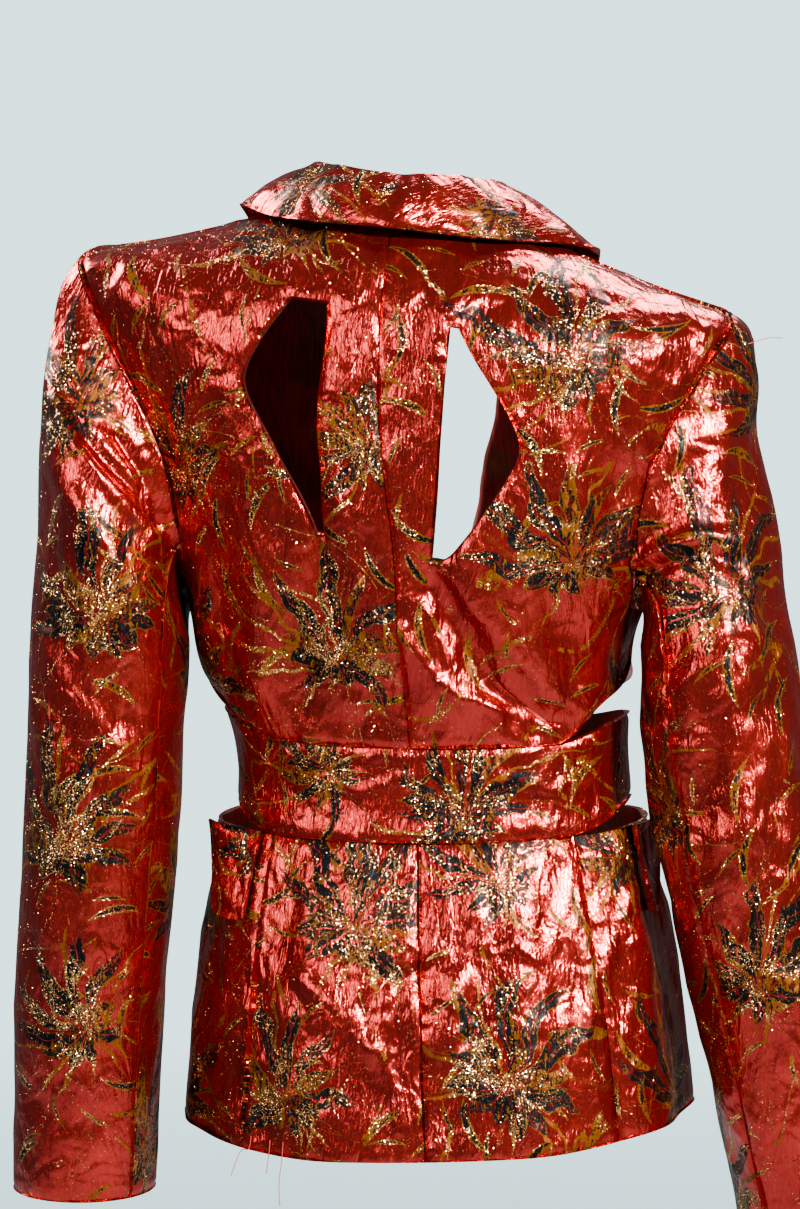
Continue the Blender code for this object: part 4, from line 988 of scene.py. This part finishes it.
class BLAZER_OT_button(Operator):
    """Adds the button of the band, which is covered in the cloth"""
    bl_idname = "blazer.button"
    bl_label = "Covered button"

    def execute(self, context):
        points = read(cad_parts["button_front"].data.vertices, "co", 3)
        middle = points.mean(0)
        out = np.linalg.svd(points - middle, full_matrices=False)[2][-1]
        out *= math.copysign(1.0, out @ from_axis(middle[None], "button_front")[0])
        tall = np.ptp((points - middle) @ out)
        radius = np.linalg.norm(points - middle, axis=1).max()
        deselect_all()
        bpy.ops.mesh.primitive_cylinder_add(vertices=BUTTON_SIDES, radius=radius - BUTTON_ROOM,
                                            depth=tall)
        button = context.active_object
        button.name = "button_covered"
        bevel = button.modifiers.new("Rolled rim", "BEVEL")
        bevel.width = BUTTON_RIM * tall
        bevel.segments = BUTTON_RIM_STEPS
        apply_modifiers(button)
        bpy.ops.object.mode_set(mode="EDIT")
        bpy.ops.mesh.select_mode(type="FACE")
        bpy.ops.mesh.select_all(action="DESELECT")
        bm = bmesh.from_edit_mesh(button.data)
        for face in bm.faces:
            face.select_set(face.normal.z > FACING_UP and face.calc_area() > radius ** 2)
        bmesh.update_edit_mesh(button.data)
        for inset, rise in BUTTON_DOME:
            bpy.ops.mesh.inset(thickness=inset)
            bpy.ops.transform.translate(value=(0.0, 0.0, rise))
        bpy.ops.object.mode_set(mode="OBJECT")
        corner = read(button.data.loops, "vertex_index", 1, np.int32)
        places = read(button.data.vertices, "co", 3)[corner]
        ways = read(button.data.vertices, "normal", 3)[corner]
        flat = places[:, :2] + ways[:, :2] * np.maximum(tall / 2 - places[:, 2:], 0.0)
        clear_maps(button.data)
        radius_of_flower = context.scene.blazer_brocade.flower_radius
        add_maps(button.data, {"cloth": flat + BUTTON_CLOTH_SHIFT,
                               "flower": flat / radius_of_flower + BUTTON_FLOWER_SHIFT,
                               "bloom": np.full_like(flat, BUTTON_BLOOM)})
        button.rotation_euler = Vector(out).to_track_quat("Z", "Y").to_euler()
        button.location = middle
        take(button)
        bpy.ops.object.transform_apply(location=True, rotation=True, scale=True)
        button.data.materials.clear()
        button.data.materials.append(shared(brocade_material))
        bpy.ops.object.shade_smooth_by_angle(angle=context.scene.blazer_cloth.sharp_angle)
        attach(button, "root")
        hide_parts("button_front")
        return {"FINISHED"}


# Frayed threads that show: piece they start on, path across and down in picture pixels.
THREADS = (
    ("peplum_back_left", ((251, 1136), (250, 1151), (243, 1148), (238, 1155), (231, 1176))),
    ("peplum_back_left", ((270, 1140), (269, 1157), (266, 1174))),
    ("peplum_back_left", ((283, 1142), (282, 1160), (278, 1186), (280, 1206))),
    ("sleeve_upper_right", ((748, 344), (760, 340), (772, 337), (783, 338))),
)
THREAD_RADIUS = 0.00032
THREAD_ORDER = 3
THREAD_UNEVENNESS = 900.0
THREAD_ROUGHNESS = 0.6
# A thread starts on the cloth within this many pixels of its place in the picture.
ROOT_REACH = 3.0


def thread_material():
    """Spun polyester thread in the red of the ground: thin, matt and a little uneven."""
    material, tree, shader = new_material("Spun polyester thread")
    place = add(tree, "TexCoord")
    uneven = add(tree, "TexNoise", {"Vector": place.outputs["Object"],
                                    "Scale": THREAD_UNEVENNESS})
    colours = bpy.context.scene.blazer_brocade
    colour = add(tree, "Mix", {0: uneven, 6: (*colours.deep_red, 1.0), 7: (*colours.red, 1.0)},
                 data_type="RGBA")
    tree.links.new(colour.outputs[2], shader.inputs["Base Color"])
    shader.inputs["Roughness"].default_value = THREAD_ROUGHNESS
    return material


class BLAZER_OT_threads(Operator):
    """Adds the few loose threads at the hem and the shoulder"""
    bl_idname = "blazer.threads"
    bl_label = "Loose threads"

    def execute(self, context):
        right, up, forward = camera_axes()
        made = []
        for name, path in THREADS:
            points = read(bpy.data.objects[name + "_cloth"].data.vertices, "co", 3)
            away = np.linalg.norm(in_picture(points) - path[0], axis=1)
            near = points[away < away.min() + ROOT_REACH]
            root = near[near[:, 1].argmax()]
            curve = bpy.data.curves.new("thread", "CURVE")
            curve.dimensions = "3D"
            curve.bevel_depth = THREAD_RADIUS
            curve.bevel_resolution = 1
            spline = curve.splines.new("NURBS")
            spline.points.add(len(path) - 1)
            spline.order_u = THREAD_ORDER
            spline.use_endpoint_u = True
            for knot, (across, down) in zip(spline.points, path):
                ray = (forward + right * (across - PICTURE_WIDTH / 2) / FOCAL_PIXELS
                       - up * (down - PICTURE_HEIGHT / 2) / FOCAL_PIXELS)
                reach = (root[1] - CAMERA_PLACE[1]) / ray[1]
                knot.co = (*(np.array(CAMERA_PLACE) + ray * reach), 1.0)
            thread = bpy.data.objects.new("loose_thread", curve)
            context.scene.collection.objects.link(thread)
            made.append(thread)
        take(made[0])
        for thread in made:
            thread.select_set(True)
        bpy.ops.object.convert(target="MESH")
        bpy.ops.object.join()
        threads = context.active_object
        threads.name = "loose_threads"
        threads.data.materials.clear()
        threads.data.materials.append(shared(thread_material))
        bpy.ops.object.shade_smooth()
        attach(threads, "root")
        return {"FINISHED"}


# The sky's strength as it is seen, and as it lights the blazer.
SKY_SEEN = 2.1
SKY_LIGHT = 0.18
# The floor: radius, corners, the distances between which it fades, and roughness.
FLOOR_RADIUS = 9.0
FLOOR_CORNERS = 96
FLOOR_FADE = (1.2, 4.5)
FLOOR_ROUGHNESS = 0.8
LIGHTS_AIM = (0.0, 0.0, -0.30)
# Lights: name, place, size, whose power, how many times that power, colour.
LIGHTS = (
    ("Key", (-1.5, 2.5, 1.1), 0.30, "key_power", 1.0, (1.0, 0.94, 0.88)),
    ("Fill", (2.0, 2.0, 0.6), 1.2, "fill_power", 1.0, (0.95, 0.98, 1.0)),
    ("Front", (2.1, -1.3, 1.2), 1.2, "fill_power", 4.0, (1.0, 0.98, 0.96)),
    ("High", (-0.9, -1.7, 2.2), 1.4, "fill_power", 3.2, (1.0, 0.98, 0.96)),
)


class BLAZER_OT_stage(Operator):
    """Adds the pale floor, the sky, the lights and the camera"""
    bl_idname = "blazer.stage"
    bl_label = "Floor, lights and camera"

    def execute(self, context):
        stage = context.scene.blazer_stage
        world = bpy.data.worlds.new("Pale studio")
        world.use_nodes = True
        tree = world.node_tree
        sky = tree.nodes["Background"]
        sky.inputs["Color"].default_value = (*stage.backdrop, 1.0)
        sky.inputs["Strength"].default_value = SKY_LIGHT
        seen = add(tree, "Background", ((*stage.backdrop, 1.0), SKY_SEEN))
        path = add(tree, "LightPath")
        both = add(tree, "MixShader", (path.outputs["Is Camera Ray"], sky, seen))
        tree.links.new(both.outputs[0], tree.nodes["World Output"].inputs[0])
        context.scene.world = world
        context.scene.view_settings.look = "AgX - Medium High Contrast"
        deselect_all()
        bpy.ops.mesh.primitive_circle_add(vertices=FLOOR_CORNERS, radius=FLOOR_RADIUS,
                                          fill_type="NGON",
                                          location=(0.0, 0.0, -stage.floor_drop))
        floor = context.active_object
        floor.name = "studio_floor"
        material, tree, shader = new_material("Matt studio floor")
        place = add(tree, "TexCoord")
        flat = add(tree, "VectorMath", (place.outputs["Object"], (1.0, 1.0, 0.0)),
                   operation="MULTIPLY")
        away = add(tree, "VectorMath", (flat,), operation="LENGTH")
        fade = add(tree, "MapRange", (away.outputs["Value"], *FLOOR_FADE))
        clear = add(tree, "BsdfTransparent")
        mixed = add(tree, "MixShader", (fade, shader, clear))
        tree.links.new(mixed.outputs[0], tree.nodes["Material Output"].inputs[0])
        shader.inputs["Base Color"].default_value = (*stage.floor, 1.0)
        shader.inputs["Roughness"].default_value = FLOOR_ROUGHNESS
        floor.data.materials.append(material)
        for name, place, size, power, times, colour in LIGHTS:
            light = bpy.data.lights.new(name, "AREA")
            light.size = size
            light.energy = getattr(stage, power) * times
            light.color = colour
            lamp = bpy.data.objects.new(name, light)
            lamp.location = place
            aim = Vector(LIGHTS_AIM) - lamp.location
            lamp.rotation_euler = aim.to_track_quat("-Z", "Y").to_euler()
            context.scene.collection.objects.link(lamp)
        camera = bpy.data.cameras.new("Camera")
        camera.sensor_fit = "VERTICAL"
        camera.sensor_height = SENSOR
        camera.lens = SENSOR * FOCAL_PIXELS / PICTURE_HEIGHT
        eye = bpy.data.objects.new("Camera", camera)
        eye.location = CAMERA_PLACE
        eye.rotation_euler = (math.radians(90) - CAMERA_PITCH, 0.0, math.radians(180))
        context.scene.collection.objects.link(eye)
        context.scene.camera = eye
        return {"FINISHED"}


class BLAZER_PT_panel(Panel):
    """The blazer's pieces, its cloth and its stage"""
    bl_idname = "BLAZER_PT_panel"
    bl_label = "Blazer"
    bl_space_type = "VIEW_3D"
    bl_region_type = "UI"
    bl_category = "Blazer"

    def draw(self, context):
        for operator in OPERATORS:
            self.layout.operator(operator.bl_idname)
        for group in SETTINGS:
            settings = getattr(context.scene, group)
            for name in settings.bl_rna.properties.keys():
                if name not in ("rna_type", "name"):
                    self.layout.prop(settings, name)


OPERATORS = (BLAZER_OT_stage, BLAZER_OT_body, BLAZER_OT_waist, BLAZER_OT_sleeves,
             BLAZER_OT_collar, BLAZER_OT_button, BLAZER_OT_threads)
SETTINGS = {"blazer_cloth": ClothSettings, "blazer_brocade": BrocadeSettings,
            "blazer_stage": StageSettings}
CLASSES = (*SETTINGS.values(), *OPERATORS, BLAZER_PT_panel)


def register():
    for kind in CLASSES:
        bpy.utils.register_class(kind)
    for name, kind in SETTINGS.items():
        setattr(bpy.types.Scene, name, PointerProperty(type=kind))


def unregister():
    for name in SETTINGS:
        delattr(bpy.types.Scene, name)
    for kind in reversed(CLASSES):
        bpy.utils.unregister_class(kind)


def main():
    register()
    bpy.ops.blazer.stage()
    bpy.ops.blazer.body()
    bpy.ops.blazer.waist()
    bpy.ops.blazer.sleeves()
    bpy.ops.blazer.collar()
    bpy.ops.blazer.button()
    bpy.ops.blazer.threads()


if __name__ == "__main__":
    main()
